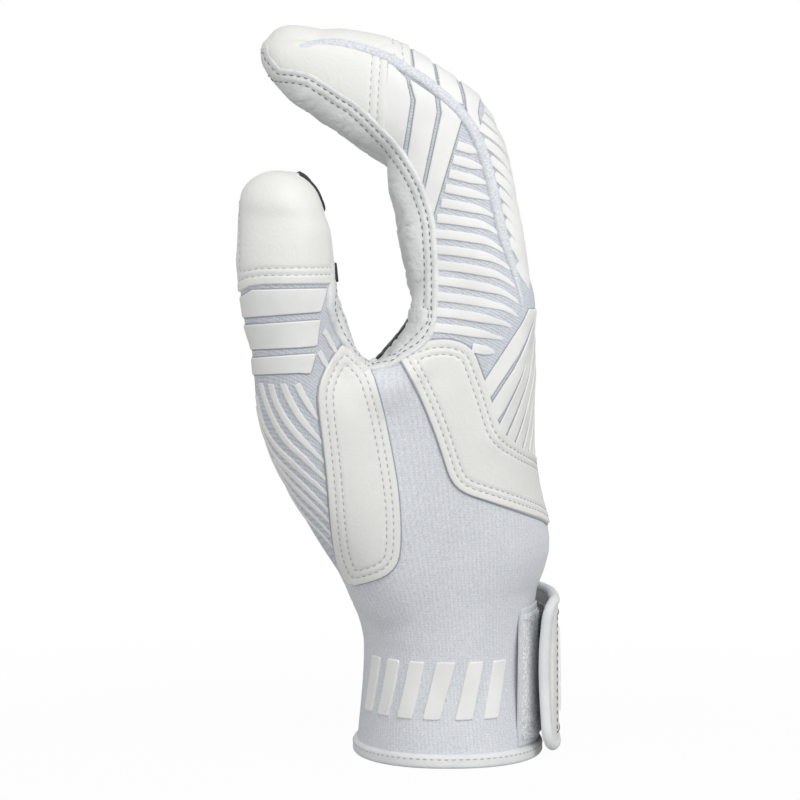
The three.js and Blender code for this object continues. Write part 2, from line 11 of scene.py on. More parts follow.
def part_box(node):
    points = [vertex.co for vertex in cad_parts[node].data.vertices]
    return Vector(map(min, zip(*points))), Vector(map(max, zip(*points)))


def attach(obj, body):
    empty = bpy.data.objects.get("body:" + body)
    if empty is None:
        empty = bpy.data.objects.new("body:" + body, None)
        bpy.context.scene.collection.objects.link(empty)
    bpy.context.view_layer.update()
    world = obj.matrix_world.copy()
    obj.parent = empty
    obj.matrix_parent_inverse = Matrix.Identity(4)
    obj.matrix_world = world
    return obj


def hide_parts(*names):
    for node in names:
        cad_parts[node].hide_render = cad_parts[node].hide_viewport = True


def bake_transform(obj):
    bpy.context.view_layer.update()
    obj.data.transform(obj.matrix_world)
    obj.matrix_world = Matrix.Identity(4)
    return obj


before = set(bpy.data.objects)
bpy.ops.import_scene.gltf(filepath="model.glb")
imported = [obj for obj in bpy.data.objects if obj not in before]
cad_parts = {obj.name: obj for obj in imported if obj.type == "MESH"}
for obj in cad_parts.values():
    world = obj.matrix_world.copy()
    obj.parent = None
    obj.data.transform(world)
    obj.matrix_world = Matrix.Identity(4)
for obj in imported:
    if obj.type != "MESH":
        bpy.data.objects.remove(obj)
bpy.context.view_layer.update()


# Viewpoint: level with the fork of the thumb, on the thumb side, a metre away and slightly above.
# The glove is drawn in millimetres from the wrist's own axis; row() gives the shared frame in metres.

hem_corners = np.array([list(corner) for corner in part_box("cuff_binding")]) * 1000
hem_back = 22.5
hem_palm = 25.5
wrist_axis = hem_corners.mean(axis=0) - ((hem_back - hem_palm) / 2, 0, 0)
wrist_axis[2] = 0


def row(points):
    return (np.asarray(points, float) + wrist_axis) * 0.001


look_at = np.array((-14.3, -30.0, 96.2))
view_distance = 1000.0
view_rise = math.radians(4.0)
view_width = 208.0
view_line = np.array((0, math.cos(view_rise), -math.sin(view_rise)))
view_up = np.array((0, math.sin(view_rise), math.cos(view_rise)))
eye = look_at - view_line * view_distance


def seen(points):
    """Where points show in the thumb-side view, in millimetres across and up in the plane of the index finger."""
    ray = np.asarray(points, float) - eye
    scale = view_distance / (ray @ view_line)
    return np.stack([look_at[0] + ray[:, 0] * scale, look_at[2] + (ray @ view_up) * scale], axis=1)


camera_data = bpy.data.cameras.new("viewpoint")
camera_data.sensor_width = 36.0
camera_data.lens = 36.0 * view_distance / view_width
camera = bpy.data.objects.new("viewpoint", camera_data)
camera.location = row(eye)
camera.rotation_euler = (math.pi / 2 - view_rise, 0, 0)
bpy.context.scene.collection.objects.link(camera)
bpy.context.scene.camera = camera


# Light and floor: a white table in a white room, one broad soft lamp from the upper right and a weaker one
# from each side. The floor takes the glove's soft shadow and runs out into white.

class Dye:
    """A value inside a material, so that sums of values can be written plainly."""

    def __init__(self, tree, socket=None):
        self.tree = tree
        self.socket = socket

    def make(self, kind, inputs=None, output=0, **settings):
        node = self.tree.nodes.new(kind)
        for key, value in settings.items():
            setattr(node, key, value)
        for key, value in (inputs or {}).items():
            if isinstance(value, Dye):
                self.tree.links.new(value.socket, node.inputs[key])
            else:
                node.inputs[key].default_value = value
        return Dye(self.tree, node.outputs[output])

    def sum(self, operation, first, second):
        return self.make("ShaderNodeMath", {0: first, 1: second}, operation=operation)

    def __add__(self, other):
        return self.sum("ADD", self, other)

    def __sub__(self, other):
        return self.sum("SUBTRACT", self, other)

    def __mul__(self, other):
        return self.sum("MULTIPLY", self, other)

    def between(self, low, high):
        return self.make("ShaderNodeMapRange", {"Value": self, "From Min": low, "From Max": high},
                         interpolation_type="SMOOTHSTEP")

    def mix(self, first, second):
        return self.make("ShaderNodeMix", {0: self, 6: first, 7: second}, 2, data_type="RGBA")

    def place(self):
        return self.make("ShaderNodeTexCoord", None, 3)

    def stretched(self, *scale):
        return self.make("ShaderNodeMapping", {"Vector": self, "Scale": scale})

    def clouds(self, scale, detail, **more):
        return self.make("ShaderNodeTexNoise", {"Vector": self, "Scale": scale, "Detail": detail, **more})

    def cells(self, scale):
        return self.make("ShaderNodeTexVoronoi", {"Vector": self, "Scale": scale}, feature="SMOOTH_F1")

    def sine(self):
        return self.make("ShaderNodeMath", {0: self}, operation="SINE")

    def axes(self):
        apart = self.tree.nodes.new("ShaderNodeSeparateXYZ")
        self.tree.links.new(self.socket, apart.inputs[0])
        return [Dye(self.tree, output) for output in apart.outputs]

    def bump(self, strength, distance):
        return self.make("ShaderNodeBump", {"Strength": strength, "Distance": distance, "Height": self})

    def stored(self, name, kind="FLOAT_VECTOR"):
        return self.make("GeometryNodeInputNamedAttribute", {"Name": name}, data_type=kind)


def colour(red, green, blue):
    return (red, green, blue, 1.0)


scene = bpy.context.scene
scene.view_settings.view_transform = "Standard"

world = bpy.data.worlds.new("white_room")
scene.world = world
world.use_nodes = True
world.node_tree.nodes.clear()
room = Dye(world.node_tree)
rays = world.node_tree.nodes.new("ShaderNodeLightPath")
shown = Dye(world.node_tree, rays.outputs["Is Camera Ray"])
mirrored = Dye(world.node_tree, rays.outputs["Is Glossy Ray"])
room_light = 0.49
bright = shown.sum("MAXIMUM", shown, mirrored * 0.75)
backdrop = room.make("ShaderNodeBackground", {"Color": colour(1, 1, 1),
                                              "Strength": bright * (1 - room_light) + room_light})
world.node_tree.links.new(backdrop.socket,
                          world.node_tree.nodes.new("ShaderNodeOutputWorld").inputs["Surface"])


def lamp(name, place, target, power, size):
    data = bpy.data.lights.new(name, "AREA")
    data.energy = power
    data.size = size
    data.shape = "DISK"
    lamp_object = bpy.data.objects.new(name, data)
    lamp_object.location = row(place)
    aim = row(target) - row(place)
    lamp_object.rotation_euler = Vector(aim).to_track_quat("-Z", "Y").to_euler()
    scene.collection.objects.link(lamp_object)


lamp("broad_lamp", (220, -560, 600), (0, -20, 100), 2.5, 0.5)
lamp("side_lamp", (-460, -560, 420), (0, 0, 120), 1.05, 0.5)
lamp("right_lamp", (560, -380, 320), (0, 0, 90), 0.85, 0.5)

floor_mesh = bpy.data.meshes.new("floor")
floor_reach = 6.0
floor_corners = [(x * floor_reach, y * floor_reach, 0) for x, y in ((-1, -1), (1, -1), (1, 1), (-1, 1))]
floor_mesh.from_pydata(floor_corners, [], [(0, 1, 2, 3)])
floor = bpy.data.objects.new("floor", floor_mesh)
scene.collection.objects.link(floor)
floor_finish = bpy.data.materials.new("white_table")
floor_finish.use_nodes = True
floor_tree = floor_finish.node_tree
floor_tree.nodes.clear()
table_top = Dye(floor_tree)
place = table_top.place()
away = table_top.make("ShaderNodeVectorMath", {0: place}, 1, operation="LENGTH").between(0.09, 0.3)
paint = table_top.make("ShaderNodeBsdfDiffuse", {"Color": colour(0.6, 0.6, 0.6)})
glow = table_top.make("ShaderNodeEmission", {"Color": colour(1, 1, 1), "Strength": 1.0})
table_rays = floor_tree.nodes.new("ShaderNodeLightPath")
table_seen = Dye(floor_tree, table_rays.outputs["Is Camera Ray"])
white = table_top.make("ShaderNodeMixShader", {0: (away * 0.03 + 0.97) * table_seen, 1: paint, 2: glow})
floor_tree.links.new(white.socket, floor_tree.nodes.new("ShaderNodeOutputMaterial").inputs["Surface"])
floor_mesh.materials.append(floor_finish)


# The filled hand: the closed shape that the sewn glove is stretched over, with the same sections, bends and
# lengths as the solids. It is only worked from, and every panel below is cut out of its skin.

hand_heights = (0, 28, 58, 96, 117)
hand_sections = {
    "back": (hem_back, 20.6, 23, 21.5, 20),
    "palm": (hem_palm, 23.5, 25, 14, 8.5),
    "breadth": (66, 60, 70, 81, 82),
    "thenar": (0, 0, 2, 13, 0),
    "square": (2.2, 2.2, 2.4, 2.8, 3.2),
}
fabric = 0.5
knuckle_slope = math.radians(3.5)
knuckle_place = np.array((-9.4, 0, 117))
finger_pitch = 21.0
finger_square = 2.4
finger_width = (18.0, 16.4)
finger_depth = (28.0, 25.0, 17.5)
finger_dome = 9.5
finger_ease = 0.2
fingers = {
    "index": {"place": -1.5, "base": 41, "end": 34, "scale": 1.0, "tilt": 11, "bend": 46},
    "middle": {"place": -0.5, "base": 42, "end": 34, "scale": 1.0, "tilt": 11, "bend": 46},
    "ring": {"place": 0.5, "base": 41, "end": 33, "scale": 0.97, "tilt": 11, "bend": 43},
    "little": {"place": 1.5, "base": 35, "end": 28, "scale": 0.86, "tilt": 5, "bend": 21},
}
thumb_knuckle = np.array((-40.8, -47, 106))
thumb_foot = np.array((-8.0, -17, 44))
thumb_axis = np.array((-6.2, -19, 50))
thumb_axis = thumb_axis / np.linalg.norm(thumb_axis)
thumb_lean = np.array((-0.56, -0.36, 0.75))
thumb_lean = thumb_lean / np.linalg.norm(thumb_lean)
thumb_back = np.array((-0.45, -0.89, 0))
thumb_back = thumb_back - thumb_axis * (thumb_back @ thumb_axis)
thumb_back = thumb_back / np.linalg.norm(thumb_back)
thumb_side = np.cross(thumb_axis, thumb_back)
root_reach = 26.0
root_size = 28.0
root_web = 10.0
web_line = np.array((0.92, 0.39, 0))
thumb_depth = (20.0, 16.0)
thumb_width = (18.6, 18.2)
thumb_base = 21.0
thumb_end = 18.5
thumb_dome = 8.5
thumb_tilt = math.radians(5)
thumb_square = 2.3
web_course = np.array(((-40, -49, 126), (-33.4, -45, 110), (-27.5, -42, 102.2), (-20.3, -40, 99.6),
                       (-13, -38, 102.8), (-6.4, -36, 111), (-2, -34, 128)))
web_roll = 6.5
skin_step = 0.7


def spline(at, knots, values):
    knots = np.asarray(knots, float)
    values = np.asarray(values, float)
    at = np.clip(at, knots[0], knots[-1])
    secant = np.diff(values) / np.diff(knots)
    slope = np.concatenate([secant[:1], (secant[1:] + secant[:-1]) / 2, secant[-1:]])
    i = np.clip(np.searchsorted(knots, at, side="right") - 1, 0, len(knots) - 2)
    step = knots[i + 1] - knots[i]
    p = (at - knots[i]) / step
    rise = values[i] * (2 * p**3 - 3 * p**2 + 1) + values[i + 1] * (3 * p**2 - 2 * p**3)
    return rise + step * (slope[i] * (p**3 - 2 * p**2 + p) + slope[i + 1] * (p**3 - p**2))


def unit(vectors):
    return vectors / np.linalg.norm(vectors, axis=-1, keepdims=True)


def way_along(line):
    return np.concatenate([[0], np.cumsum(np.linalg.norm(np.diff(line[:, :3], axis=0), axis=1))])


def blunt(value, square):
    return np.sign(value) * np.abs(value) ** (2 / square)


def smooth(value, low, high):
    share = np.clip((value - low) / (high - low), 0, 1)
    return share * share * (3 - 2 * share)


def swing(x, z, turn):
    return x * np.cos(turn) - z * np.sin(turn), x * np.sin(turn) + z * np.cos(turn)


def hand_skin(turn, height, off):
    section = {key: spline(height, hand_heights, values) for key, values in hand_sections.items()}
    half = (section["back"] + section["palm"]) / 2
    swell = section["thenar"] * np.maximum(0, np.cos(turn + math.radians(135))) ** 2
    x = (section["back"] - section["palm"]) / 2 + (half + off) * blunt(np.cos(turn), section["square"]) - swell
    y = (section["breadth"] / 2 + off) * blunt(np.sin(turn), section["square"])
    return np.stack([x, y, height + 0 * x], axis=-1)


def from_knuckles(points):
    """From the slanted row of knuckles to the wrist's frame."""
    x, y, z = np.moveaxis(np.asarray(points, float), -1, 0)
    cos, sin = math.cos(-knuckle_slope), math.sin(-knuckle_slope)
    return np.stack([x, y * cos - z * sin, y * sin + z * cos], axis=-1) + knuckle_place


def tube(turn, depth, width, square, off, ease, cap=0.0):
    """One ring of a finger: its crease line is at x = 0, and cap closes it towards a round tip."""
    x = 0.9 + depth / 2 + (depth / 2 + off) * blunt(np.cos(turn), square) * math.cos(cap)
    y = (width / 2 + ease) * blunt(np.sin(turn), square) * math.cos(cap)
    return x, y


def jointed(turn, lengths, depths, widths, dome, square, bends, ease):
    """Rings of a finger or thumb in its seat's frame, from below its first crease to the end of its tip."""
    rings = []
    lower = ((bends[0], 0),)
    upper = ((bends[1], lengths[0]), *lower)

    def add(depth, width, way, folds, cap=0.0):
        x, y = tube(turn, depth, width, square, fabric, ease, cap)
        z = 0 * x + way
        for fold, rise in folds:
            x, z = swing(x, z, fold)
            z = z + rise
        rings.append(np.stack([x, y, z], axis=-1))

    for share in np.linspace(0, 1, 5)[:-1]:
        add(depths[0], widths[0], 0, ((bends[0] * share, 0),))
    for way in np.linspace(0, lengths[0], 15):
        add(np.interp((way / lengths[0]) ** 2, (0, 1), depths[:2]), widths[0], way, lower)
    for share in np.linspace(0, 1, 10)[1:-1]:
        add(depths[1], widths[0], 0, ((bends[1] * share, lengths[0]), *lower))
    for way in np.linspace(0, lengths[1], 13):
        share = (way / lengths[1]) ** 2
        add(np.interp(share, (0, 1), depths[1:]), np.interp(share, (0, 1), widths), way, upper)
    for cap in np.linspace(0, math.pi / 2, 9)[1:-1]:
        add(depths[2], widths[1], lengths[1] + (dome + fabric) * math.sin(cap), upper, cap)
    return rings


def finger_rings(finger, turn):
    scale = finger["scale"]
    bends = (math.radians(finger["tilt"]), math.radians(finger["bend"]))
    rings = jointed(turn, (finger["base"], finger["end"]), np.array(finger_depth) * scale,
                    np.array(finger_width) * scale, finger_dome * scale, finger_square, bends, finger_ease)
    middle = rings[0].mean(axis=0)
    below = [middle + (rings[0] - middle) * (size, size, 1) - (0, 0, sink)
             for sink, size in ((34, 0.6), (24, 0.72), (16, 0.84), (9, 0.94), (4, 0.985))]
    return from_knuckles(np.array(below + rings) + (0, finger["place"] * finger_pitch, 0))


def thumb_course():
    """Points along the thumb's root, with the running length and direction at each."""
    share = np.linspace(0, 1, 241)[:, None]
    stops = (thumb_foot, thumb_foot + thumb_lean * root_reach, thumb_knuckle - thumb_axis * root_reach,
             thumb_knuckle)
    weights = ((1 - share) ** 3, 3 * share * (1 - share) ** 2, 3 * share**2 * (1 - share), share**3)
    points = sum(weight * stop for weight, stop in zip(weights, stops))
    length = way_along(points)
    heading = np.gradient(points, length, axis=0)
    return points, length, unit(heading)


root_points, root_lengths, root_headings = thumb_course()
root_length = root_lengths[-1]


def root_frame(along):
    centre = np.stack([np.interp(along, root_lengths, root_points[:, k]) for k in range(3)], axis=-1)
    heading = np.stack([np.interp(along, root_lengths, root_headings[:, k]) for k in range(3)], axis=-1)
    heading = unit(heading)
    back = unit(thumb_back - heading * (heading @ thumb_back)[..., None])
    return centre, back, np.cross(heading, back)


def root_halves(share):
    """Half the depth and half the width of the thumb's root."""
    return [np.interp(share, (0, 1), (root_size, sizes[0])) / 2 + fabric for sizes in (thumb_depth, thumb_width)]


def root_ring(turn, along):
    centre, back, side = root_frame(np.array(along))
    share = along / root_length
    depth, width = root_halves(share)
    c, s = blunt(np.cos(turn), thumb_square), blunt(np.sin(turn), thumb_square)
    webbed = root_web * np.maximum(0, s) ** 2 * smooth(1 - share, 0, 0.18)
    return centre + np.outer(c * depth, back) + np.outer(s * width, side) + np.outer(webbed, web_line)


thumb_seat = thumb_knuckle - thumb_back * (thumb_depth[0] / 2 + 0.9)
thumb_basis = np.stack([thumb_back, thumb_side, thumb_axis])


def thumb_rings(turn):
    free = jointed(turn, (thumb_base, thumb_end), (thumb_depth[0], *thumb_depth), thumb_width, thumb_dome,
                   thumb_square, (thumb_tilt, thumb_tilt), fabric)
    root = [root_ring(turn, along) for along in np.linspace(0, root_length, 22)[:-1]]
    return np.array(root + [ring @ thumb_basis + thumb_seat for ring in free])


def hand_rings(turn):
    heights = np.concatenate([np.arange(-6, 108, 3.0), (110, 113, 115.5, 117.5)])
    rings = np.array([hand_skin(turn, np.full_like(turn, height), fabric) for height in heights])
    rings[..., 2] = heights[:, None] - np.tan(knuckle_slope) * rings[..., 1] * smooth(heights, 60, 117)[:, None]
    return rings


def web_rings(turn):
    """The doubled leather in the fork, a soft roll from the thumb's inner side round to the index finger."""
    rings = []
    course = np.array([[spline(share, np.linspace(0, 1, 7), web_course[:, k]) for k in range(3)]
                       for share in np.linspace(0, 1, 31)])
    for point, heading in zip(course, np.gradient(course, axis=0)):
        heading = heading / np.linalg.norm(heading)
        across = np.cross(heading, (0, 1, 0))
        deep = np.cross(across, heading)
        rings.append(point + np.outer(np.cos(turn) * web_roll, across) + np.outer(np.sin(turn) * web_roll, deep))
    return np.array(rings)


def closed(rings, first):
    """Points and faces of a closed tube through the rings, numbered from first."""
    count, around = rings.shape[:2]
    points = np.concatenate([rings.reshape(-1, 3), [rings[0].mean(axis=0), rings[-1].mean(axis=0)]])
    faces = []
    for j in range(count - 1):
        for i in range(around):
            k = (i + 1) % around
            faces.append([first + v for v in (j * around + i, j * around + k, (j + 1) * around + k,
                                              (j + 1) * around + i)])
    foot = first + count * around
    for i in range(around):
        k = (i + 1) % around
        faces.append([foot, first + k, first + i])
        faces.append([foot + 1, first + (count - 1) * around + i, first + (count - 1) * around + k])
    return points, faces


def filled_hand():
    """The skin as triangles: points, faces and edges, evened out and softened."""
    wide = np.linspace(0, 2 * math.pi, 120, endpoint=False)
    slim = np.linspace(0, 2 * math.pi, 56, endpoint=False)
    parts = [hand_rings(wide), thumb_rings(slim), web_rings(slim)]
    parts += [finger_rings(finger, slim) for finger in fingers.values()]
    points, faces = [], []
    for rings in parts:
        more, quads = closed(rings, len(points))
        points.extend(more.tolist())
        faces.extend(quads)
    data = bpy.data.meshes.new("filled_hand")
    data.from_pydata(points, [], faces)
    body = bpy.data.objects.new("filled_hand", data)
    scene.collection.objects.link(body)
    remesh = body.modifiers.new("even", "REMESH")
    remesh.mode = "VOXEL"
    remesh.voxel_size = skin_step
    even = bpy.data.meshes.new_from_object(body.evaluated_get(bpy.context.evaluated_depsgraph_get()))
    even.calc_loop_triangles()

    def read(items, key, width, kind):
        values = np.empty(len(items) * width, kind)
        items.foreach_get(key, values)
        return values.reshape(-1, width)

    found = (read(even.vertices, "co", 3, float), read(even.loop_triangles, "vertices", 3, int),
             read(even.edges, "vertices", 2, int))
    bpy.data.objects.remove(body)
    bpy.data.meshes.remove(data)
    bpy.data.meshes.remove(even)
    return found


def softened(points, edges, rounds, keep):
    """Evens out the skin: each round moves a point towards its neighbours, then part of the way back by keep."""
    count = np.bincount(edges.ravel(), minlength=len(points))[:, None]
    for share in [0.5, -0.5 * keep] * rounds:
        total = np.zeros_like(points)
        for k in range(3):
            total[:, k] = np.bincount(edges[:, 0], points[edges[:, 1], k], len(points))
            total[:, k] += np.bincount(edges[:, 1], points[edges[:, 0], k], len(points))
        points = points + (total / count - points) * share
    return points


def normals_of(points, faces):
    a, b, c = (points[faces[:, k]] for k in range(3))
    across = np.cross(b - a, c - a)
    total = np.zeros_like(points)
    for k in range(3):
        for axis in range(3):
            total[:, axis] += np.bincount(faces[:, k], across[:, axis], len(points))
    return total / np.maximum(np.linalg.norm(total, axis=1), 1e-12)[:, None]


fork_pit = np.array((-15, -40, 97))
fork_reach = (14, 28)
span_top = 101.5
span_rounds = 400
dent_place = np.array((9.4, 84.0))
joint_heights = (114, 118, 124, 128, 132, 140, 148, 152, 157, 161, 165, 173, 178, 182, 187, 192)
joint_swell = (0.2, 1.0, 0.9, 0.5, 0.7, 1.3, 1.9, 2.5, 3.0, 3.4, 2.9, 2.0, 0.6, 0.2, 1.0, 0.8)
tip_across = (-53, -48, -44, -41, -38, -35, -31.5, -28, -24, -18)
tip_sunk = (0.6, 1.6, 2.8, 3.4, 3.2, 2.4, 1.5, 1.0, 0.6, 0.0)
tip_back = 0.6
thumb_top, thumb_right_end = 158.5, -21.6
free_level, free_breadth, root_breadth = 106, 22.5, 34
thumb_levels = (73, 80, 86, 94, 102, 110, 115, 119, 123, 128, 132, 136, 140, 144, 148, 153, 157)
thumb_left = (-0.4, -0.9, -1.2, -1.0, -0.6, -0.5, -1.6, -1.8, -2.0, -1.9, -2.2, -2.1, -2.2, -2.5, -2.6, -3.0,
              -2.9)
thumb_right = (0, 0, 0, 0, 0.2, 0.5, 0.8, 1.0, 1.2, 1.0, 0.8, 0.5, 0.2, -1.2, -2.2, -2.3, -1.8)
back_levels = (44, 49, 54, 58, 63, 67, 72, 77, 83, 89, 96, 102)
back_swell = (0, 1.4, 2.3, 2.2, 1.2, 0, -1.0, -1.5, -1.6, -1.3, -0.9, -0.2)
wrist_levels = (30, 34, 37, 40, 43, 47, 51)
wrist_swell = (0, 0.5, 1.1, 2.1, 1.9, 0.8, 0)
knuckle_blend = 8.0


def spanned(points, edges, share):
    """Cloth pulled tight over a hollow: points move towards the thumb side only, where share is above zero."""
    n = len(points)
    both = np.concatenate([edges, edges[:, ::-1]])
    both = both[share[both[:, 0]] > 0]
    count = np.maximum(np.bincount(both[:, 0], minlength=n), 1)
    moved = points.copy()
    for _ in range(span_rounds):
        mean = np.bincount(both[:, 0], moved[both[:, 1], 1], n) / count
        moved[:, 1] += np.minimum(mean - moved[:, 1], 0) * share
    return moved


def fuller(points, faces):
    """The worn glove's fullness over the bare sections: at the finger joints, the thumb and above the strap."""
    normals = normals_of(points, faces)
    moved = points.copy()
    spots = seen(points)
    x, _, z = points.T
    on_row = (points - knuckle_place) @ np.array((0, math.sin(knuckle_slope), math.cos(knuckle_slope)))
    nearer = (spots[:, 0] < thumb_right_end) & (spots[:, 1] < thumb_top)
    for finger in fingers.values():
        lean = math.radians(finger["tilt"]) + math.radians(finger["bend"]) * smooth(
            on_row, finger["base"] - 7, finger["base"] + 12)
        rise = normals[:, 0] * np.cos(lean) + normals[:, 2] * np.sin(lean)
        aside = np.abs(to_knuckles(points)[:, 1] - finger["place"] * finger_pitch)
        mine = (aside <= finger_pitch / 2) & (on_row > -12) & ~nearer
        spot = as_index(points[mine], finger)[0]
        swell = np.interp(spot[:, 1], joint_heights, joint_swell) * smooth(rise[mine], 0.05, 0.8)
        swell = swell * finger["scale"]
        moved[mine] += np.stack([np.cos(lean[mine]), 0 * swell, np.sin(lean[mine])], axis=1) * swell[:, None]
        sunk = np.interp(spot[:, 0], tip_across, tip_sunk) * smooth(normals[mine, 2], 0.1, 0.6)
        sunk = sunk * smooth(spot[:, 1], 176, 186) * finger["scale"]
        blunted = tip_back * smooth(-normals[mine, 0], 0.3, 0.95) * smooth(-spot[:, 0], 40, 46)
        moved[mine] += np.stack([0.2 * sunk + blunted, 0 * sunk, -sunk], axis=1)
    left = np.array([spots[(np.abs(spots[:, 1] - level) < 0.6) & (spots[:, 0] < -15), 0].min()
                     for level in thumb_levels])
    left = np.interp(spots[:, 1], thumb_levels, left)
    share = np.clip((spots[:, 0] - left) / np.where(spots[:, 1] > free_level, free_breadth, root_breadth), 0, 1)
    reach = np.interp(spots[:, 1], thumb_levels, thumb_left) * (1 - share)
    reach = reach + np.interp(spots[:, 1], thumb_levels, thumb_right) * share
    reach = reach * np.where(spots[:, 1] > free_level, 1, 1 - smooth(share, 0.3, 1.0))
    reach = reach * smooth(spots[:, 1], 66, 73)
    moved[:, 0] += np.where((spots[:, 0] < -19) & (spots[:, 1] < thumb_top), reach, 0)
    low = on_row < -8
    moved[:, 0] += np.where(low, np.interp(z, back_levels, back_swell) * smooth(normals[:, 0], 0.1, 0.9), 0)
    moved[:, 0] -= np.where(low, np.interp(z, wrist_levels, wrist_swell) * smooth(-normals[:, 0], 0.1, 0.9), 0)
    return moved


# Lines on the skin: where each panel's edge runs, as distances in millimetres that are above zero inside it.
# Outlines on the thumb side are read as they show from the viewpoint, across and up.

photo_pixel = 0.26
photo_left, photo_foot = 455, 770


def outline(*pixels):
    """Points of the photograph, as millimetres across and up in the plane of the index finger."""
    return np.array([((x - photo_left) * photo_pixel, (photo_foot - y) * photo_pixel) for x, y in pixels])


def rounded_off(line, ring=True):
    """An outline with its corners cut off, so that it runs as a sewn edge does."""
    ahead = np.roll(line, -1, axis=0) if ring else line[1:]
    start = line if ring else line[:-1]
    cut = np.stack([start * 0.75 + ahead * 0.25, start * 0.25 + ahead * 0.75], axis=1).reshape(-1, 2)
    return cut if ring else np.concatenate([line[:1], cut, line[-1:]])


def nearest(points, line):
    """Distance to a bent line, and which side: above zero to the right of its run."""
    best = np.full(len(points), np.inf)
    side = np.zeros(len(points))
    for (ax, ay), (bx, by) in zip(line[:-1], line[1:]):
        run = np.array((bx - ax, by - ay))
        share = ((points - (ax, ay)) @ run) / (run @ run)
        foot = (ax, ay) + np.clip(share, 0, 1)[:, None] * run
        gap = np.linalg.norm(points - foot, axis=1)
        turn = (points[:, 1] - ay) * run[0] - (points[:, 0] - ax) * run[1]
        closer = gap < best - 1e-6
        side = np.where(closer, -np.sign(turn), side)
        best = np.where(closer, gap, best)
    return best, side


def beside(points, line):
    gap, side = nearest(points, line)
    return gap * side


def within(points, ring):
    """Depth inside a closed outline, below zero outside it."""
    loop = np.concatenate([ring, ring[:1]])
    gap = nearest(points, loop)[0]
    crossed = np.zeros(len(points), bool)
    for (ax, ay), (bx, by) in zip(loop[:-1], loop[1:]):
        spans = (ay > points[:, 1]) != (by > points[:, 1])
        reach = ax + (points[:, 1] - ay) * (bx - ax) / (by - ay if by != ay else 1e-9)
        crossed ^= spans & (points[:, 0] < reach)
    return np.where(crossed, gap, -gap)


def to_knuckles(points):
    x, y, z = (np.asarray(points, float) - knuckle_place).T
    cos, sin = math.cos(-knuckle_slope), math.sin(-knuckle_slope)
    return np.stack([x, y * cos + z * sin, -y * sin + z * cos], axis=1)


def section_turn(c, s, square):
    """Angle of a point of a rounded section, from where it lies along both half-axes."""
    return np.arctan2(np.sign(s) * np.abs(s) ** (square / 2), np.sign(c) * np.abs(c) ** (square / 2))


def hand_turn(points):
    """Angle round the hand in degrees, from 0 at the back to -90 at the thumb side, and the size ratio there."""
    x, y, z = points.T
    section = {key: spline(z, hand_heights, values) for key, values in hand_sections.items()}
    half = (section["back"] + section["palm"]) / 2 + fabric
    turn = np.arctan2(y, x)
    for _ in range(3):
        swell = section["thenar"] * np.maximum(0, np.cos(turn + math.radians(135))) ** 2
        c = (x - (section["back"] - section["palm"]) / 2 + swell) / half
        s = y / (section["breadth"] / 2 + fabric)
        turn = section_turn(c, s, section["square"])
    size = (np.abs(c) ** section["square"] + np.abs(s) ** section["square"]) ** (1 / section["square"])
    return np.degrees(turn), size


def thumb_turn(points):
    """Angle round the thumb in degrees, 0 at its back, the size ratio there and the way along it."""
    seat = (points - thumb_seat) @ thumb_basis.T
    rough = np.argmin(np.linalg.norm(points[:, None] - root_points[None, ::6], axis=2), axis=1) * 6
    along = root_lengths[rough]
    centre, back, side = root_frame(along)
    gap = points - centre
    depth, width = root_halves(along / root_length)
    c = (gap * back).sum(axis=1) / depth
    s = (gap * side).sum(axis=1) / width
    free = seat[:, 2] > 0
    depth = np.interp(np.maximum(0, seat[:, 2] - thumb_base) / thumb_end, (0, 1), thumb_depth) / 2
    c = np.where(free, (seat[:, 0] + seat[:, 2] * 0.05 - depth - 0.9) / (depth + fabric), c)
    s = np.where(free, seat[:, 1] / (thumb_width[0] / 2 + fabric), s)
    size = (np.abs(c) ** thumb_square + np.abs(s) ** thumb_square) ** (1 / thumb_square)
    return np.degrees(section_turn(c, s, thumb_square)), size, seat[:, 2]


def as_index(points, finger):
    """The same spot on the index finger, so that all four fingers share one set of outlines."""
    index = fingers["index"]
    x, y, z = to_knuckles(points).T
    y = y - finger["place"] * finger_pitch
    tilt, bend = math.radians(finger["tilt"]), math.radians(finger["bend"])
    index_tilt, index_bend = math.radians(index["tilt"]), math.radians(index["bend"])
    below = z < 0
    bx, bz = swing(x, z, -tilt)
    ex, ez = swing(bx, bz - finger["base"], -bend)
    scale = finger["scale"]
    radius, angle = np.hypot(bx, bz - finger["base"]), np.arctan2(bz - finger["base"], bx)
    in_end = ez > 0
    in_wedge = (bz > finger["base"]) & ~in_end
    end_scale = (index["end"] + finger_dome) / (finger["end"] + finger_dome * scale)
    ix, iz = swing(ex / scale, ez * end_scale, index_bend)
    wx = radius / scale * np.cos(angle * index_bend / bend)
    wz = radius / scale * np.sin(angle * index_bend / bend)
    jx = np.where(in_end, ix, np.where(in_wedge, wx, bx / scale))
    jz = np.where(in_end | in_wedge, np.where(in_end, iz, wz) + index["base"],
                  bz * index["base"] / finger["base"])
    jx, jz = swing(jx, jz, index_tilt)
    low_angle = np.arctan2(z, np.maximum(x, 0.1))
    in_low = (z >= 0) & (bz < 0)
    low_radius = np.hypot(x, z) / scale
    jx = np.where(in_low, low_radius * np.cos(low_angle * index_tilt / tilt), jx)
    jz = np.where(in_low, low_radius * np.sin(low_angle * index_tilt / tilt), jz)
    jx, jz = np.where(below, x, jx), np.where(below, z, jz)
    moved = from_knuckles(np.stack([jx, 0 * jx + index["place"] * finger_pitch, jz], axis=1))
    moved[:, 1] = -40.0
    return seen(moved), y, bz


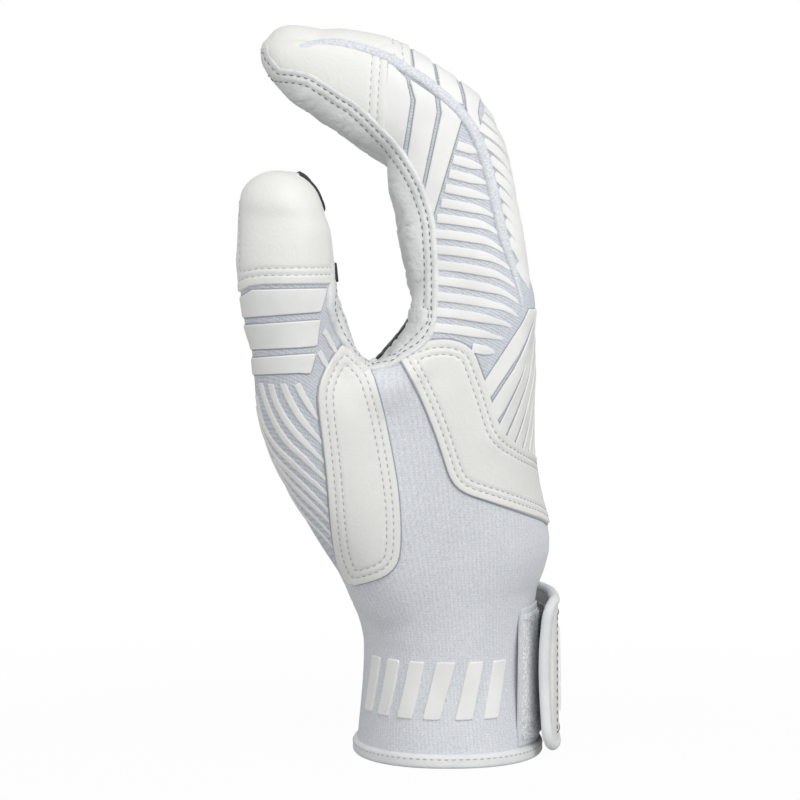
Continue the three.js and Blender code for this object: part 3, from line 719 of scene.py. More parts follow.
skin_points, skin_faces, skin_edges = filled_hand()
skin_points = softened(skin_points, skin_edges, 4, 0.0)
skin_points = softened(skin_points, skin_edges, 10, 1.04)
pitted = smooth(-np.linalg.norm(skin_points - fork_pit, axis=1), -fork_reach[1], -fork_reach[0])[:, None]
skin_points = skin_points * (1 - pitted) + softened(skin_points, skin_edges, 40, 0.0) * pitted
skin_normals = normals_of(skin_points, skin_faces)
below_fork = smooth(-seen(skin_points)[:, 1], -span_top, -span_top + 4) * smooth(skin_points[:, 2], 42, 62)
below_fork = below_fork * smooth(-skin_points[:, 1], 12, 20) * smooth(-skin_normals[:, 1], -0.2, 0.1)
skin_points = spanned(skin_points, skin_edges, below_fork)
way_up = to_knuckles(skin_points)[:, 2] + 2.0
eased = (np.exp(-(way_up / knuckle_blend) ** 2) * (1 - smooth(-skin_points[:, 0], 22, 26)))[:, None]
skin_points = skin_points * (1 - eased) + softened(skin_points, skin_edges, 24, 0.0) * eased
dented = smooth(-np.linalg.norm(skin_points[:, [0, 2]] - dent_place, axis=1), -14, -6)
dented = (dented * smooth(-skin_points[:, 1], 5, 15))[:, None]
skin_points = skin_points * (1 - dented) + softened(skin_points, skin_edges, 40, 0.0) * dented
skin_points = softened(fuller(skin_points, skin_faces), skin_edges, 6, 1.04)
skin_normals = normals_of(skin_points, skin_faces)

margin_edge = outline((262, 46), (270, 45), (271, 55), (281, 68), (295, 70), (311, 74), (327, 84), (343, 95),
                      (355, 102), (371, 116), (385, 130), (395, 140), (405, 153), (415, 169), (425, 189),
                      (433, 213), (436, 228), (438, 256), (439, 275), (439, 296), (437, 322), (433, 338),
                      (424, 348), (409, 358), (395, 365), (380, 369), (370, 369), (359, 364), (350, 354),
                      (342, 346), (337, 338), (330, 322), (326, 309), (328, 285), (330, 267), (328, 247),
                      (328, 219), (323, 190), (311, 170), (296, 158))
fork = np.concatenate([margin_edge, outline((285, 150), (275, 120), (255, 90), (250, 50))])
leaf_middle = outline((334, 330), (340, 345), (352, 380), (360, 430), (366, 490), (368, 530), (362, 600))
knit_angles = (-180, -150, -144, -138, -118, -114, -106, -96, -86, -80, -66, -50, -20, 0, 92, 110, 130, 150, 180)
knit_tops = (50, 50, 58, 104, 106, 106, 104, 100, 95, 91, 82, 77, 72.5, 71, 70, 66, 58, 52, 50)
thumb_foot_seam = 50.0
palm_middle, palm_reach = 166.0, 71.0
thumb_seam = 112.0
fork_split = (372 - photo_left) * photo_pixel
tongue_top = 103.0
leaf_right = -13.0
knuckle_cut = 1.0
thumb_cut = -4.0
off_panel = -20.0

knuckled = to_knuckles(skin_points)
turn, hand_size = hand_turn(skin_points)
thumb_angle, thumb_size, thumb_way = thumb_turn(skin_points)
view = seen(skin_points)
heights = skin_points[:, 2]
free_thumb = np.minimum.reduce([thumb_way - thumb_cut, fork_split - view[:, 0], thumb_top - heights])
finger_part = np.minimum(knuckled[:, 2] - knuckle_cut, -free_thumb)
sides = np.zeros(len(skin_points))
base_way = np.zeros(len(skin_points))
owner = np.clip(np.round(knuckled[:, 1] / finger_pitch + 1.5), 0, 3).astype(int)
upper = (knuckled[:, 2] > -30) & ~((view[:, 0] < fork_split) & (heights < thumb_top))
for number, finger in enumerate(fingers.values()):
    mine = upper & (owner == number)
    spot, sides[mine], base_way[mine] = as_index(skin_points[mine], finger)
    lift = smooth(knuckled[mine, 2], -12, -2)[:, None]
    view[mine] = view[mine] * (1 - lift) + spot * lift if number == 0 else spot
thumb_girth = math.radians(1) * 10
on_thumb = np.where(thumb_way > 0, np.where(free_thumb > 0, -off_panel, off_panel),
                    (hand_size - thumb_size) * 12)
on_thumb = np.where(skin_points[:, 1] > -2, off_panel, on_thumb)
on_thumb = np.where(view[:, 1] < tongue_top, np.minimum(on_thumb, leaf_right - view[:, 0]), on_thumb)
seam_angle = thumb_seam + 16 * smooth(thumb_way, 14, 34) + 10 * smooth(thumb_way, 32, 42)
past_seam = (np.abs(thumb_angle) - seam_angle) * thumb_girth
behind_tip = skin_normals[:, 1] - 0.1 + 0.22 * smooth(view[:, 0], -45, -41)
past_seam = np.minimum(past_seam, behind_tip * 18 + 20 * (1 - smooth(thumb_way, 32, 38)))
right_of_leaf = beside(view, leaf_middle[::-1])
in_fork = within(view, fork)
palm_turn = np.abs((turn - palm_middle + 180) % 360 - 180)
palm_part = np.minimum((palm_reach - palm_turn) * math.radians(1) * 35,
                       heights - np.interp(turn, knit_angles, knit_tops))
leather_part = np.maximum.reduce([
    np.where((knuckled[:, 2] > -20) & (heights > 99), in_fork, off_panel),
    np.minimum(-on_thumb, np.where(finger_part > 0, off_panel, palm_part)),
    np.minimum.reduce([on_thumb, past_seam, heights - thumb_foot_seam]),
])
knit_part = np.maximum(
    np.minimum(on_thumb, np.maximum(np.minimum(right_of_leaf, -past_seam), thumb_foot_seam - heights)),
    np.minimum(-on_thumb, np.interp(turn, knit_angles, knit_tops) - heights),
)
knit_part = np.where(finger_part > -2, off_panel, knit_part)


# Wrist panel: one piece of brushed stretch knit round the wrist, with a tongue that rises between the thumb's
# leaf and the side overlay to the fork. It is cut from cloth, sewn under the overlays and bound at the hem.

columns = {name: number for number, name in enumerate(
    ("x", "y", "z", "nx", "ny", "nz", "across", "up", "sides", "base_way", "knuckle_way", "knuckle_y",
     "thumb_way", "leather", "knit", "on_thumb", "free_thumb", "finger", "turn"))}
side_view = slice(columns["across"], columns["up"] + 1)


def lone_first(faces, lone):
    """The same triangles, each turned so that its lone corner comes first."""
    first = np.argmax(lone, axis=1)
    return np.take_along_axis(faces, (first[:, None] + np.arange(3)) % 3, axis=1)


def clip(table, faces, field, both=False):
    """The part of a skin where field is above zero, cut along its zero line; both keeps the rest as well."""
    inside = field > 0
    count = inside[faces].sum(axis=1)
    one, two = faces[count == 1], faces[count == 2]
    one, two = lone_first(one, inside[one]), lone_first(two, ~inside[two])
    edges = np.concatenate([one[:, [0, 1]], one[:, [0, 2]], two[:, [0, 1]], two[:, [0, 2]]])
    pairs, where = np.unique(np.sort(edges, axis=1), axis=0, return_inverse=True)
    low, high = pairs.T
    share = np.clip(field[low] / (field[low] - field[high]), 0.02, 0.98)[:, None]
    fresh = table[low] + (table[high] - table[low]) * share
    corner = len(table) + where.ravel()
    p, q, r, t = np.split(corner, np.cumsum((len(one), len(one), len(two))))
    kept = [faces[count == 3], np.stack([one[:, 0], p, q], 1), np.stack([r, two[:, 1], two[:, 2]], 1),
            np.stack([r, two[:, 2], t], 1)]
    if both:
        kept += [faces[count == 0], np.stack([p, one[:, 1], one[:, 2]], 1), np.stack([p, one[:, 2], q], 1),
                 np.stack([two[:, 0], r, t], 1)]
    table, faces = np.concatenate([table, fresh]), np.concatenate(kept)
    used, faces = np.unique(faces, return_inverse=True)
    return table[used], faces.reshape(-1, 3)


class Cloth:
    """A cut of the skin: its points with all that is known there, a column for each name, and its triangles."""

    def __init__(self, table, faces, fields=(None,)):
        self.table, self.faces, self.fields = table, faces, fields
        self.points, self.spots, self.edge = table[:, :3], table[:, side_view], fields[0]

    def __getitem__(self, name):
        return self.table[:, columns[name]]

    def carrying(self, *more):
        """The same cloth with more columns at the end."""
        return Cloth(np.column_stack([self.table, *more]), self.faces)

    def cut(self, *fields):
        """What is left where every field is above zero, with those fields on it; the first one is its edge."""
        first = self.table.shape[1]
        wide, faces = np.column_stack([self.table, *fields]), self.faces
        for k in range(first, wide.shape[1]):
            wide, faces = clip(wide, faces, wide[:, k])
        return Cloth(wide[:, :first], faces, wide[:, first:].T)

    def with_rows(self, field, levels):
        """The same cloth with rows of edges along the given levels of field, and that field on it."""
        wide, faces = np.column_stack([self.table, field]), self.faces
        for level in levels:
            wide, faces = clip(wide, faces, wide[:, -1] - level, both=True)
        return Cloth(wide[:, :-1], faces), wide[:, -1]


skin = Cloth(np.column_stack([skin_points, skin_normals, view, sides, base_way, knuckled[:, 2], knuckled[:, 1],
                              thumb_way, leather_part, knit_part, on_thumb, free_thumb, finger_part, turn]),
             skin_faces)


def mesh_object(name, points, faces, finish):
    """A plain mesh of triangles, given in millimetres."""
    data = bpy.data.meshes.new(name)
    data.vertices.add(len(points))
    data.vertices.foreach_set("co", row(points).ravel())
    data.loops.add(len(faces) * 3)
    data.loops.foreach_set("vertex_index", faces.ravel().astype(np.int32))
    data.polygons.add(len(faces))
    data.polygons.foreach_set("loop_start", np.arange(0, len(faces) * 3, 3, dtype=np.int32))
    data.polygons.foreach_set("use_smooth", np.ones(len(faces), bool))
    data.update(calc_edges=True)
    data.validate()
    data.set_sharp_from_angle(angle=math.radians(50))
    data.materials.append(finish)
    piece = bpy.data.objects.new(name, data)
    scene.collection.objects.link(piece)
    return piece


def shell(name, cloth, lift, depth, finish):
    """A sewn panel: the skin lifted by lift, closed round its edge to an inner face depth below."""
    faces, count = cloth.faces, len(cloth.table)
    normals = unit(cloth.table[:, 3:6])
    lift = np.broadcast_to(np.asarray(lift, float), count)[:, None]
    outer = cloth.points + normals * lift
    inner = cloth.points + normals * np.minimum(lift - 0.25, -depth)
    runs = np.concatenate([faces[:, [0, 1]], faces[:, [1, 2]], faces[:, [2, 0]]])
    keys = runs[:, 0] * count + runs[:, 1]
    rim = runs[~np.isin(keys, runs[:, 1] * count + runs[:, 0])]
    walls = np.concatenate([np.stack([rim[:, 1], rim[:, 0], rim[:, 0] + count], 1),
                            np.stack([rim[:, 1], rim[:, 0] + count, rim[:, 1] + count], 1)])
    return mesh_object(name, np.concatenate([outer, inner]),
                       np.concatenate([faces, faces[:, ::-1] + count, walls]), finish)


def finger_point(finger, x, z):
    x, z = swing(x, z, math.radians(finger["tilt"]))
    return row(from_knuckles(np.array((x, finger["place"] * finger_pitch, z))))


bends = {}
knuckle_depth, knuckle_from, knuckle_to = 14, 2, 0.41
joint_depth, joint_reach = 12, 13
for name, finger in fingers.items():
    half = math.radians(finger["bend"] / 2)
    back_x, back_z = joint_depth * math.cos(half), joint_depth * math.sin(half) + finger["base"]
    reach = joint_reach * finger["scale"]
    reach_x, reach_z = reach * math.sin(half), reach * math.cos(half)
    bends[name + "_low"] = ("hand", name + "_base", finger_point(finger, knuckle_depth, knuckle_from),
                            finger_point(finger, knuckle_depth, finger["base"] * knuckle_to))
    bends[name + "_high"] = (name + "_base", name + "_end",
                             finger_point(finger, back_x + reach_x, back_z - reach_z),
                             finger_point(finger, back_x - reach_x, back_z + reach_z))
inside_thumb = thumb_seat + thumb_back * 10
thumb_bends = {"low": ("hand", "thumb_base", -3, 7), "high": ("thumb_base", "thumb_end", 12.5, 29)}
for half, (lower, upper, *stops) in thumb_bends.items():
    bends[f"thumb_{half}"] = (lower, upper, *(row(inside_thumb + thumb_axis * stop) for stop in stops))


def sew_on(piece, zone, slot, *nodes):
    """Fixes a finished piece: it rides on a body, or, in a zone between two bodies, is baked in place where it
    lies.
    """
    if zone in bends:
        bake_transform(piece)
    else:
        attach(piece, zone)
    if nodes:
        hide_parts(*nodes)
    return piece


def finish_of(name, dyed, **sockets):
    """A finish with some sockets set, and others fed with what dyed makes of the place on the piece."""
    made = bpy.data.materials.new(name)
    made.use_nodes = True
    made.node_tree.nodes.clear()
    shader = made.node_tree.nodes.new("ShaderNodeBsdfPrincipled")
    for key, value in sockets.items():
        shader.inputs[key.replace("_", " ")].default_value = value
    for key, value in dyed(Dye(made.node_tree).place()).items():
        made.node_tree.links.new(value.socket, shader.inputs[key])
    end = made.node_tree.nodes.new("ShaderNodeOutputMaterial")
    made.node_tree.links.new(shader.outputs[0], end.inputs["Surface"])
    return made


def dyed_with(tone, rough, bump=None):
    return {"Base Color": tone, "Roughness": rough, **({"Normal": bump} if bump else {})}


def knit_dye(place):
    x, y, z = place.axes()
    around = place.sum("ARCTAN2", y - float(row((0, 0, 0))[1]), x - float(row((0, 0, 0))[0]))
    wale = (around * 190 + z * 500).sine()
    course = (z * 9000 + wale * 0.9).sine()
    fuzz = place.stretched(2900.0, 2900.0, 1700.0).clouds(1.0, 2.0, Roughness=0.7)
    cloud = place.clouds(60.0, 3.0)
    weave = course * 0.04 + wale * 0.05 + fuzz * 1.1 - 0.05
    tone = weave.between(0.1, 0.9).mix(colour(0.53, 0.55, 0.595), colour(0.79, 0.81, 0.85))
    tone = cloud.between(0.35, 0.65).mix(tone, weave.between(0.1, 0.9).mix(colour(0.56, 0.58, 0.62),
                                                                           colour(0.815, 0.835, 0.875)))
    return dyed_with(tone, weave * 0.1 + 0.78, weave.bump(0.3, 0.0003))


hem_top = 1.2
under_leather = 1.5
knit_depth = 1.0
knit = finish_of("brushed_knit", knit_dye, Sheen_Weight=0.25, Sheen_Roughness=0.5, Specular_IOR_Level=0.25)
hand_zone = -np.maximum(skin["free_thumb"], skin["finger"])
vent_middle = 6.1
vent_half = 2.5
vent_top = 42.0
beside_vent = np.maximum.reduce([np.abs(skin["y"] - vent_middle) - vent_half, skin["z"] - vent_top,
                                 -skin["x"]])
wrist = skin.cut(hand_zone, skin["knit"], skin["z"] - hem_top, under_leather - skin["leather"], beside_vent)
sew_on(shell("wrist_knit", wrist, 0.0, knit_depth, knit), "hand", "wrist_knit", "wrist_panel")


# Back of the hand and thumb root: stretch mesh on a thin backing, cut in two panels and sewn under the overlays.
# Everything raised on it is moulded on later.

def mesh_dye(place):
    x, y, z = place.axes()
    slant = ((x * 0.45 + y * 0.45 + z) * 7200).sine()
    cross = ((x + y - z * 0.5) * 6600).sine()
    fuzz = place.clouds(1700.0, 2.0)
    weave = slant * 0.13 + slant * cross * 0.12 + fuzz * 0.6 + 0.2
    tone = weave.between(0.05, 0.95).mix(colour(0.44, 0.47, 0.53), colour(0.72, 0.745, 0.785))
    return dyed_with(tone, weave * 0.1 + 0.66, weave.bump(0.4, 0.0003))


mesh_cloth = finish_of("stretch_mesh", mesh_dye, Sheen_Weight=0.15, Specular_IOR_Level=0.3)
back_depth = 0.9
bare = skin.cut(hand_zone, -skin["knit"], under_leather - skin["leather"])
back = bare.cut(-bare["on_thumb"])
sew_on(shell("back_mesh", back, 0.0, back_depth, mesh_cloth), "hand", "ribbed_mesh", "back_panel")
root = bare.cut(bare["on_thumb"])
sew_on(shell("thumb_root_mesh", root, 0.0, back_depth, mesh_cloth), "hand", "ribbed_mesh", "thumb_root_back")


# Palm: thin sheepskin, cut with the thumb's root and the doubled patch of the fork, its edge turned up over the
# mesh and the knit. It is soft and wrinkles behind its sewn margin.

def palm_dye(place):
    cloud = place.clouds(70.0, 4.0)
    crease = place.stretched(420.0, 420.0, 900.0).clouds(1.0, 5.0, Roughness=0.6)
    pore = place.cells(1500.0)
    tone = cloud.between(0.3, 0.7).mix(colour(0.71, 0.72, 0.72), colour(0.81, 0.815, 0.81))
    # Darker where the crease noise is low, in the valleys of the same bump: painted shade in the creases.
    tone = crease.between(0.2, 0.5).mix(colour(0.63, 0.64, 0.645), tone)
    return dyed_with(tone, cloud * 0.15 + 0.48, (crease * 0.8 + pore * 0.25).bump(0.5, 0.0005))


palm_leather = finish_of("palm_leather", palm_dye, Specular_IOR_Level=0.4)
leather_lap = {"lift": 0.9, "roll": 0.7, "depth": 0.4}
edge_steps = (0.06, 0.16, 0.3, 0.5, 0.9, 1.6)


def rolled_edge(field, lift, roll):
    """Height of a lapped panel's face, rounded off over roll at its edge and sunk just under it."""
    share = np.clip(field / roll, 0, 1)
    return lift * np.sqrt(1 - (1 - share) ** 2) - 0.15 * (1 - share) ** 4


def lapped(name, cloth, finish, rows=(), swell=None, *, lift, roll, depth):
    """A panel laid over others: its edge rolled, pressed down along its rows of stitches, swollen inside them."""
    levels = list(edge_steps) + [line + step for line in rows for step in (-0.6, -0.25, 0.25, 0.6)]
    cloth, field = cloth.with_rows(cloth.edge, levels)
    height = rolled_edge(field, lift, roll)
    for line in rows:
        height = height - stitch_press * np.exp(-((field - line) / 0.42) ** 2)
    if swell:
        height = height + swell(cloth, field)
    return shell(name, cloth, height, depth, finish)


def wrinkled(cloth, field):
    """Soft leather standing off the hand behind its sewn margin, in folds that run across the fingers."""
    inside = smooth(field, 3.6, 6.5)
    folds = np.zeros(len(field))
    for number in np.flatnonzero(inside > 0):
        x, y, z = cloth.points[number]
        broad = noise.noise((x * 0.09, y * 0.09, z * 0.13))
        fold = noise.noise((x * 0.16 + z * 0.05, y * 0.1 + 7.0, z * 0.34 - x * 0.12))
        fine = noise.noise((x * 0.5, y * 0.45, z * 0.75 + 3.0))
        folds[number] = 0.75 + 0.7 * broad - 0.75 * max(0.0, 0.55 - abs(fold) * 5.0) + 0.14 * fine
    return inside * folds


stitch_press = 0.22
margin_rows = (1.6, 3.3)
palm = skin.cut(hand_zone, skin["leather"])
palm.edge = palm.fields[1]
sew_on(lapped("palm_leather", palm, palm_leather, margin_rows, wrinkled, **leather_lap), "hand", "palm_leather",
       "palm_panel", "web_patch", "thumb_root_palm")


# Fingers: sheepskin fronts whose sewn margin turns up the sides, mesh backs, knit gussets where two fingers face,
# and a white leather cap over each tip. Each length is a piece of its own.

def white_dye(place):
    cloud = place.clouds(55.0, 4.0)
    grain = place.cells(1300.0)
    soft = place.clouds(260.0, 3.0)
    tone = cloud.between(0.3, 0.7).mix(colour(0.76, 0.765, 0.735), colour(0.83, 0.83, 0.81))
    tone = grain.between(0.0, 0.35).mix(tone, colour(0.80, 0.80, 0.775))
    return dyed_with(tone, cloud * 0.14 + 0.42, (grain * -0.5 + soft * 0.8).bump(0.35, 0.0003))


white_leather = finish_of("white_leather", white_dye, Specular_IOR_Level=0.45)
cap_side = outline((386, 180), (386, 150), (385, 128), (386.5, 95), (388, 62), (389, 30))
cap_back = outline((415, 95), (412, 76), (411, 60), (409, 47), (400, -10))
cap_ring = np.concatenate([cap_side[1:-1], cap_back[1:], outline((390, -90), (120, -90), (120, 200), (340, 200))])
ridge = outline((285, 50), (321, 45), (335, 44.5), (355, 48), (375, 54), (391, 61), (407, 71), (425, 82),
                (445, 99), (459, 112), (471, 128), (479, 144), (487, 166), (493, 191), (498, 215), (503, 238),
                (511, 262), (518, 285), (524, 312), (528, 350))
half_share = 0.52
gusset_sides = {"index": (1,), "middle": (-1, 1), "ring": (-1, 1), "little": (-1,)}
gusset_names = {-1: "thumb_side", 1: "far_side"}
length_names = {"low": "base", "high": "end"}
cap_lap = {"lift": 0.7, "roll": 0.5, "depth": 0.5}
under_cap = 1.5
finger_wall = 0.8
gusset_from = 3.0
cap_rows = (2.1, 4.2)
finger_skins = {}


def sew_front(zone, cloth, node):
    """The leather front of a length, and what is left of the length behind it."""
    front = cloth.cut(cloth["leather"])
    sew_on(lapped(f"{zone}_front", front, palm_leather, margin_rows, wrinkled, **leather_lap), zone,
           "palm_leather", node)
    return cloth.cut(under_leather - cloth["leather"])


def sew_cap(name, cloth, ring, rows):
    """The white cap over a tip, and what is left of the length below it."""
    capped = within(cloth.spots, ring)
    sew_on(lapped(f"{name}_cap", cloth.cut(capped), white_leather, rows, **cap_lap), f"{name}_high",
           "white_leather", f"{name}_tip_cap")
    return cloth.cut(under_cap - capped)


for name, finger in fingers.items():
    aside = np.abs(skin["knuckle_y"] - finger["place"] * finger_pitch)
    whole = skin.cut(skin["finger"], finger_pitch / 2 - aside)
    whole.spots[:], whole["sides"][:], whole["base_way"][:] = as_index(whole.points, finger)
    whole["leather"][:] = within(whole.spots, fork)
    finger_skins[name] = whole
    beyond = whole["base_way"] - finger["base"] * half_share
    for half, field in (("low", -beyond), ("high", beyond)):
        zone = f"{name}_{half}"
        rest = sew_front(zone, whole.cut(field), f"{name}_{length_names[half]}_palm")
        nodes = (f"{name}_end_back",)
        if half == "high":
            rest = sew_cap(name, rest, cap_ring, cap_rows)
        else:
            walls = [np.minimum(rest["sides"] * side - gusset_from, beside(rest.spots, ridge))
                     for side in gusset_sides[name]]
            for side, wall in zip(gusset_sides[name], walls):
                gusset = f"{name}_{gusset_names[side]}_gusset"
                sew_on(shell(gusset, rest.cut(wall), 0.0, finger_wall, knit), zone, "wrist_knit", gusset)
            rest = rest.cut(-np.max(walls, axis=0))
            nodes = (f"{name}_base_back", f"{name}_knuckle_flex", f"{name}_joint_flex")
        sew_on(shell(f"{zone}_mesh", rest, 0.0, finger_wall, mesh_cloth), zone, "ribbed_mesh", *nodes)


# Thumb: the same make, set in on its own root: leather towards the palm, mesh behind, and a white cap that comes
# down to below the nail.

thumb_cap_edge = outline((225, 294), (239, 293), (250, 286.5), (262, 284.5), (300, 284), (345, 284), (350, 150),
                         (225, 150))
thumb_cap_rows = (2.5, 4.3)
thumb_half = 9.0
thumb = skin.cut(skin["free_thumb"])
beyond_half = thumb["thumb_way"] - thumb_half
for half, field in (("low", -beyond_half), ("high", beyond_half)):
    zone = f"thumb_{half}"
    rest = sew_front(zone, thumb.cut(field), f"thumb_{length_names[half]}_palm")
    nodes = ("thumb_base_back", "thumb_knuckle_flex")
    if half == "high":
        rest = sew_cap("thumb", rest, thumb_cap_edge, thumb_cap_rows)
        nodes = ("thumb_joint_flex",)
    sew_on(shell(f"{zone}_mesh", rest, 0.0, finger_wall, mesh_cloth), zone, "ribbed_mesh", *nodes)


# Overlays: the leaf that reinforces the root of the thumb, and the side overlay that runs from the fork across
# the back of the hand. Both are cut from thicker white leather, laid over the seams below and sewn down twice.

leaf = outline((341, 345), (350, 350), (362, 361), (372, 373), (379, 395), (385, 420), (392, 455), (398, 490),
               (400.5, 525), (400, 552), (396, 566), (385, 576), (367, 582), (351, 585), (343, 575), (337, 560),
               (333, 540), (330, 515), (327, 480), (323, 445), (319, 415), (317, 393), (322, 374), (331, 358))
leaf = np.concatenate([leaf[:1], rounded_off(leaf[1:], ring=False)])
overlay_lap = {"lift": 0.8, "roll": 0.32, "depth": 0.1}
leaf_rows = (1.9, 3.7)
facing = np.minimum((-0.02 - skin["ny"]) * 12, -skin_points[:, 1] - 20 - 0.3 * (heights - 48))
leaf_cut = skin.cut(within(view, leaf), facing, -finger_part)
sew_on(lapped("thumb_leaf", leaf_cut, white_leather, leaf_rows, **overlay_lap), "thumb_low", "white_leather",
       "thumb_overlay")

side_low = outline((397, 356), (402, 363), (412.5, 382.5), (421, 399), (429, 418), (436.7, 438), (443.3, 458),
                   (449, 476), (456, 487), (467, 494), (482, 499), (503, 506), (525, 514))
side_high = outline((404, 350), (416, 346), (430, 341), (445, 340), (458, 342), (469, 347), (475, 354),
                    (480, 368), (488, 390), (495, 412), (500, 428), (507, 438), (520, 447), (532, 454))
side_rows = (1.9, 3.6)
hand_arc = math.radians(1) * 35
front_of_hand = np.flatnonzero((skin["ny"] < 0.1) & (finger_part < 2) & (on_thumb < 12))
plain_view = seen(skin_points[front_of_hand])


def on_hand(line):
    """Side-view points carried onto the hand, as the way round it and the height."""
    spots = [front_of_hand[np.argmin(((plain_view - point) ** 2).sum(axis=1))] for point in line]
    return np.array([(turn[spot] * hand_arc, heights[spot]) for spot in spots])


far_low = np.array(((-22, 63.6), (-8, 61.3), (20, 60.2), (60, 60), (92, 60))) * (hand_arc, 1)
far_high = np.array(((92, 75), (60, 75.4), (20, 77), (-16, 80.2))) * (hand_arc, 1)
side_ring = rounded_off(np.concatenate([on_hand(side_low), far_low, far_high, on_hand(side_high)[::-1]]))
wound = np.column_stack([skin["turn"] * hand_arc, skin["z"]])
near_ring = rounded_off(np.concatenate([side_low, outline((560, 528), (560, 468)), side_high[::-1]]))
near_side = np.where((skin["ny"] < 0.15) & (skin_points[:, 1] < -5), within(view, near_ring), off_panel)
round_back = smooth(skin["turn"], -75, -45)
side_part = near_side * (1 - round_back) + within(wound, side_ring) * round_back
side_part = np.where((finger_part < 1) & (skin["on_thumb"] < 15), side_part, off_panel)
side_cut = skin.cut(side_part, 0.1 - skin["leather"])
sew_on(lapped("side_overlay", side_cut, white_leather, side_rows, **overlay_lap), "hand", "white_leather",
       "side_overlay")


# Moulded bars: broad flat strips of white rubber on the fingers' middle joints, the thumb and the back of the
# hand, pressed onto the mesh with narrow grooves of bare mesh between them.

def rubber_dye(place):
    cloud = place.clouds(80.0, 3.0)
    matt = place.clouds(2400.0, 2.0)
    tone = cloud.between(0.3, 0.7).mix(colour(0.79, 0.79, 0.78), colour(0.85, 0.85, 0.835))
    return dyed_with(tone, cloud * 0.12 + 0.4, matt.bump(0.2, 0.0001))


rubber = finish_of("white_rubber", rubber_dye, Specular_IOR_Level=0.4)
# Outlines kept for thin dark lines that paint the contact shade along each edge.
shade_edge_lines = []
shade_line_inset = 0.03
bar_lap = {"lift": 0.45, "roll": 0.3, "depth": 0.3}
outer_side = {"index": -1, "little": 1}
side_bars = (outline((388, 62), (406, 80), (411, 103), (402.5, 156), (380, 150)),
             outline((409, 80), (435, 98), (437, 115), (421, 193), (407.5, 158), (415.5, 103)),
             outline((439, 98), (463, 118), (433, 219), (425, 192), (441.5, 115)))
back_bars = (
    outline((415, 20), (411.5, 47), (414, 64), (414, 80), (437, 86), (434, 69), (430.5, 61), (428, 30)),
    outline((436, 30), (434.5, 61), (438, 75), (441, 97), (464, 108), (460.5, 92), (456.5, 81), (450, 50)),
    outline((463, 50), (460.5, 81), (465, 96), (468, 122), (482, 134), (478, 114), (480, 101), (488, 75)))


def mould_bars(name, cloth, field, zone):
    """Bars where field is above zero; their outline is kept for the dark edge lines, which paint the shade along
    the bar's edge.
    """
    shade_edge_lines.append((f"{name}_bar_edges", cloth, field, zone))
    sew_on(lapped(f"{name}_bars", cloth.cut(field), rubber, **bar_lap), zone, "ribbed_mesh")


for name, cloth in finger_skins.items():
    ridge_side = beside(cloth.spots, ridge)
    shapes = [np.minimum(within(cloth.spots, ring), -ridge_side - 0.3) for ring in back_bars]
    if name in outer_side:
        wall = np.minimum(ridge_side - 0.3, cloth["sides"] * outer_side[name] - 1.0)
        shapes += [np.minimum(within(cloth.spots, ring), wall) for ring in side_bars]
    field = np.minimum(np.max(shapes, axis=0), 1.0 - cloth["leather"])
    mould_bars(name, cloth, field, f"{name}_high")

thumb_bars = {
    "high": (outline((225, 292), (239, 298), (252, 289.5), (327, 288), (320.5, 312), (300, 313.5), (240, 318),
                     (225, 319)),),
    "low": (outline((225, 326), (242, 325), (300, 321), (320, 319.5), (317, 346), (300, 347.5), (245, 350),
                    (225, 351)),
            outline((225, 359), (247, 358), (316, 353), (310.5, 374), (300, 373), (252, 375), (225, 377))),
}
wide_thumb = skin.cut(np.minimum.reduce([
    thumb_way + 9.0, fork_split - view[:, 0], thumb_top - heights, 1.0 - leather_part]))
for half, rings in thumb_bars.items():
    field = np.max([within(wide_thumb.spots, ring) for ring in rings], axis=0)
    mould_bars(f"thumb_{half}", wide_thumb, field, f"thumb_{half}")

slant_start = 612 * photo_pixel
slant_pitch = 18 * photo_pixel
slant_groove = 3.4 * photo_pixel


def slant_of(points, spots):
    """Way across the slanted bars: they climb from both sides to the middle of the hand's back."""
    across = spots[:, 0] + photo_left * photo_pixel - 0.65 * np.minimum(np.abs(points[:, 1]) - 38, 0)
    return 0.837 * across + 0.547 * (photo_foot * photo_pixel - spots[:, 1])


slant = slant_of(skin_points, seen(skin_points))
in_bar = slant_pitch / 2 - slant_groove / 2 - np.abs((slant - slant_start) % slant_pitch - slant_pitch / 2)
hand_back = np.minimum.reduce([hand_zone, -knit_part, -on_thumb, 0.4 - side_part, -0.8 - leather_part,
                               slant - slant_start])
bars = skin.cut(np.minimum(in_bar, hand_back))
shade_edge_lines.append(("hand_bar_edges", bars, bars.edge - shade_line_inset, "hand"))
sew_on(lapped("hand_bars", bars, rubber, **bar_lap), "hand", "ribbed_mesh")


# Moulded ribs: narrow half-round strips of the same rubber, in chevrons over the fingers' lower lengths and in
# a fan over the root of the thumb.

def contours(cloth, field):
    """Lines along which field is zero, as rows of points with all that the skin knows there."""
    table, faces = cloth.table, cloth.faces
    inside = field > 0
    count = inside[faces].sum(axis=1)
    mixed = faces[(count == 1) | (count == 2)]
    mixed = lone_first(mixed, inside[mixed] == (inside[mixed].sum(axis=1) == 1)[:, None])
    ends = np.sort(np.concatenate([mixed[:, [0, 1]], mixed[:, [0, 2]]]), axis=1)
    pairs, where = np.unique(ends, axis=0, return_inverse=True)
    low, high = pairs.T
    share = (field[low] / (field[low] - field[high]))[:, None]
    points = table[low] + (table[high] - table[low]) * share
    links = where.ravel().reshape(2, -1).T
    beyond = {}
    for a, b in links.tolist():
        beyond.setdefault(a, []).append(b)
        beyond.setdefault(b, []).append(a)
    lines, left = [], set(beyond)
    starts = [a for a, others in beyond.items() if len(others) == 1] + list(beyond)
    for start in starts:
        if start not in left:
            continue
        chain = [start]
        left.discard(start)
        while True:
            ahead = [b for b in beyond[chain[-1]] if b in left]
            if not ahead:
                break
            chain.append(ahead[0])
            left.discard(ahead[0])
        if len(chain) > 4:
            lines.append(evened(points[chain]))
    return lines


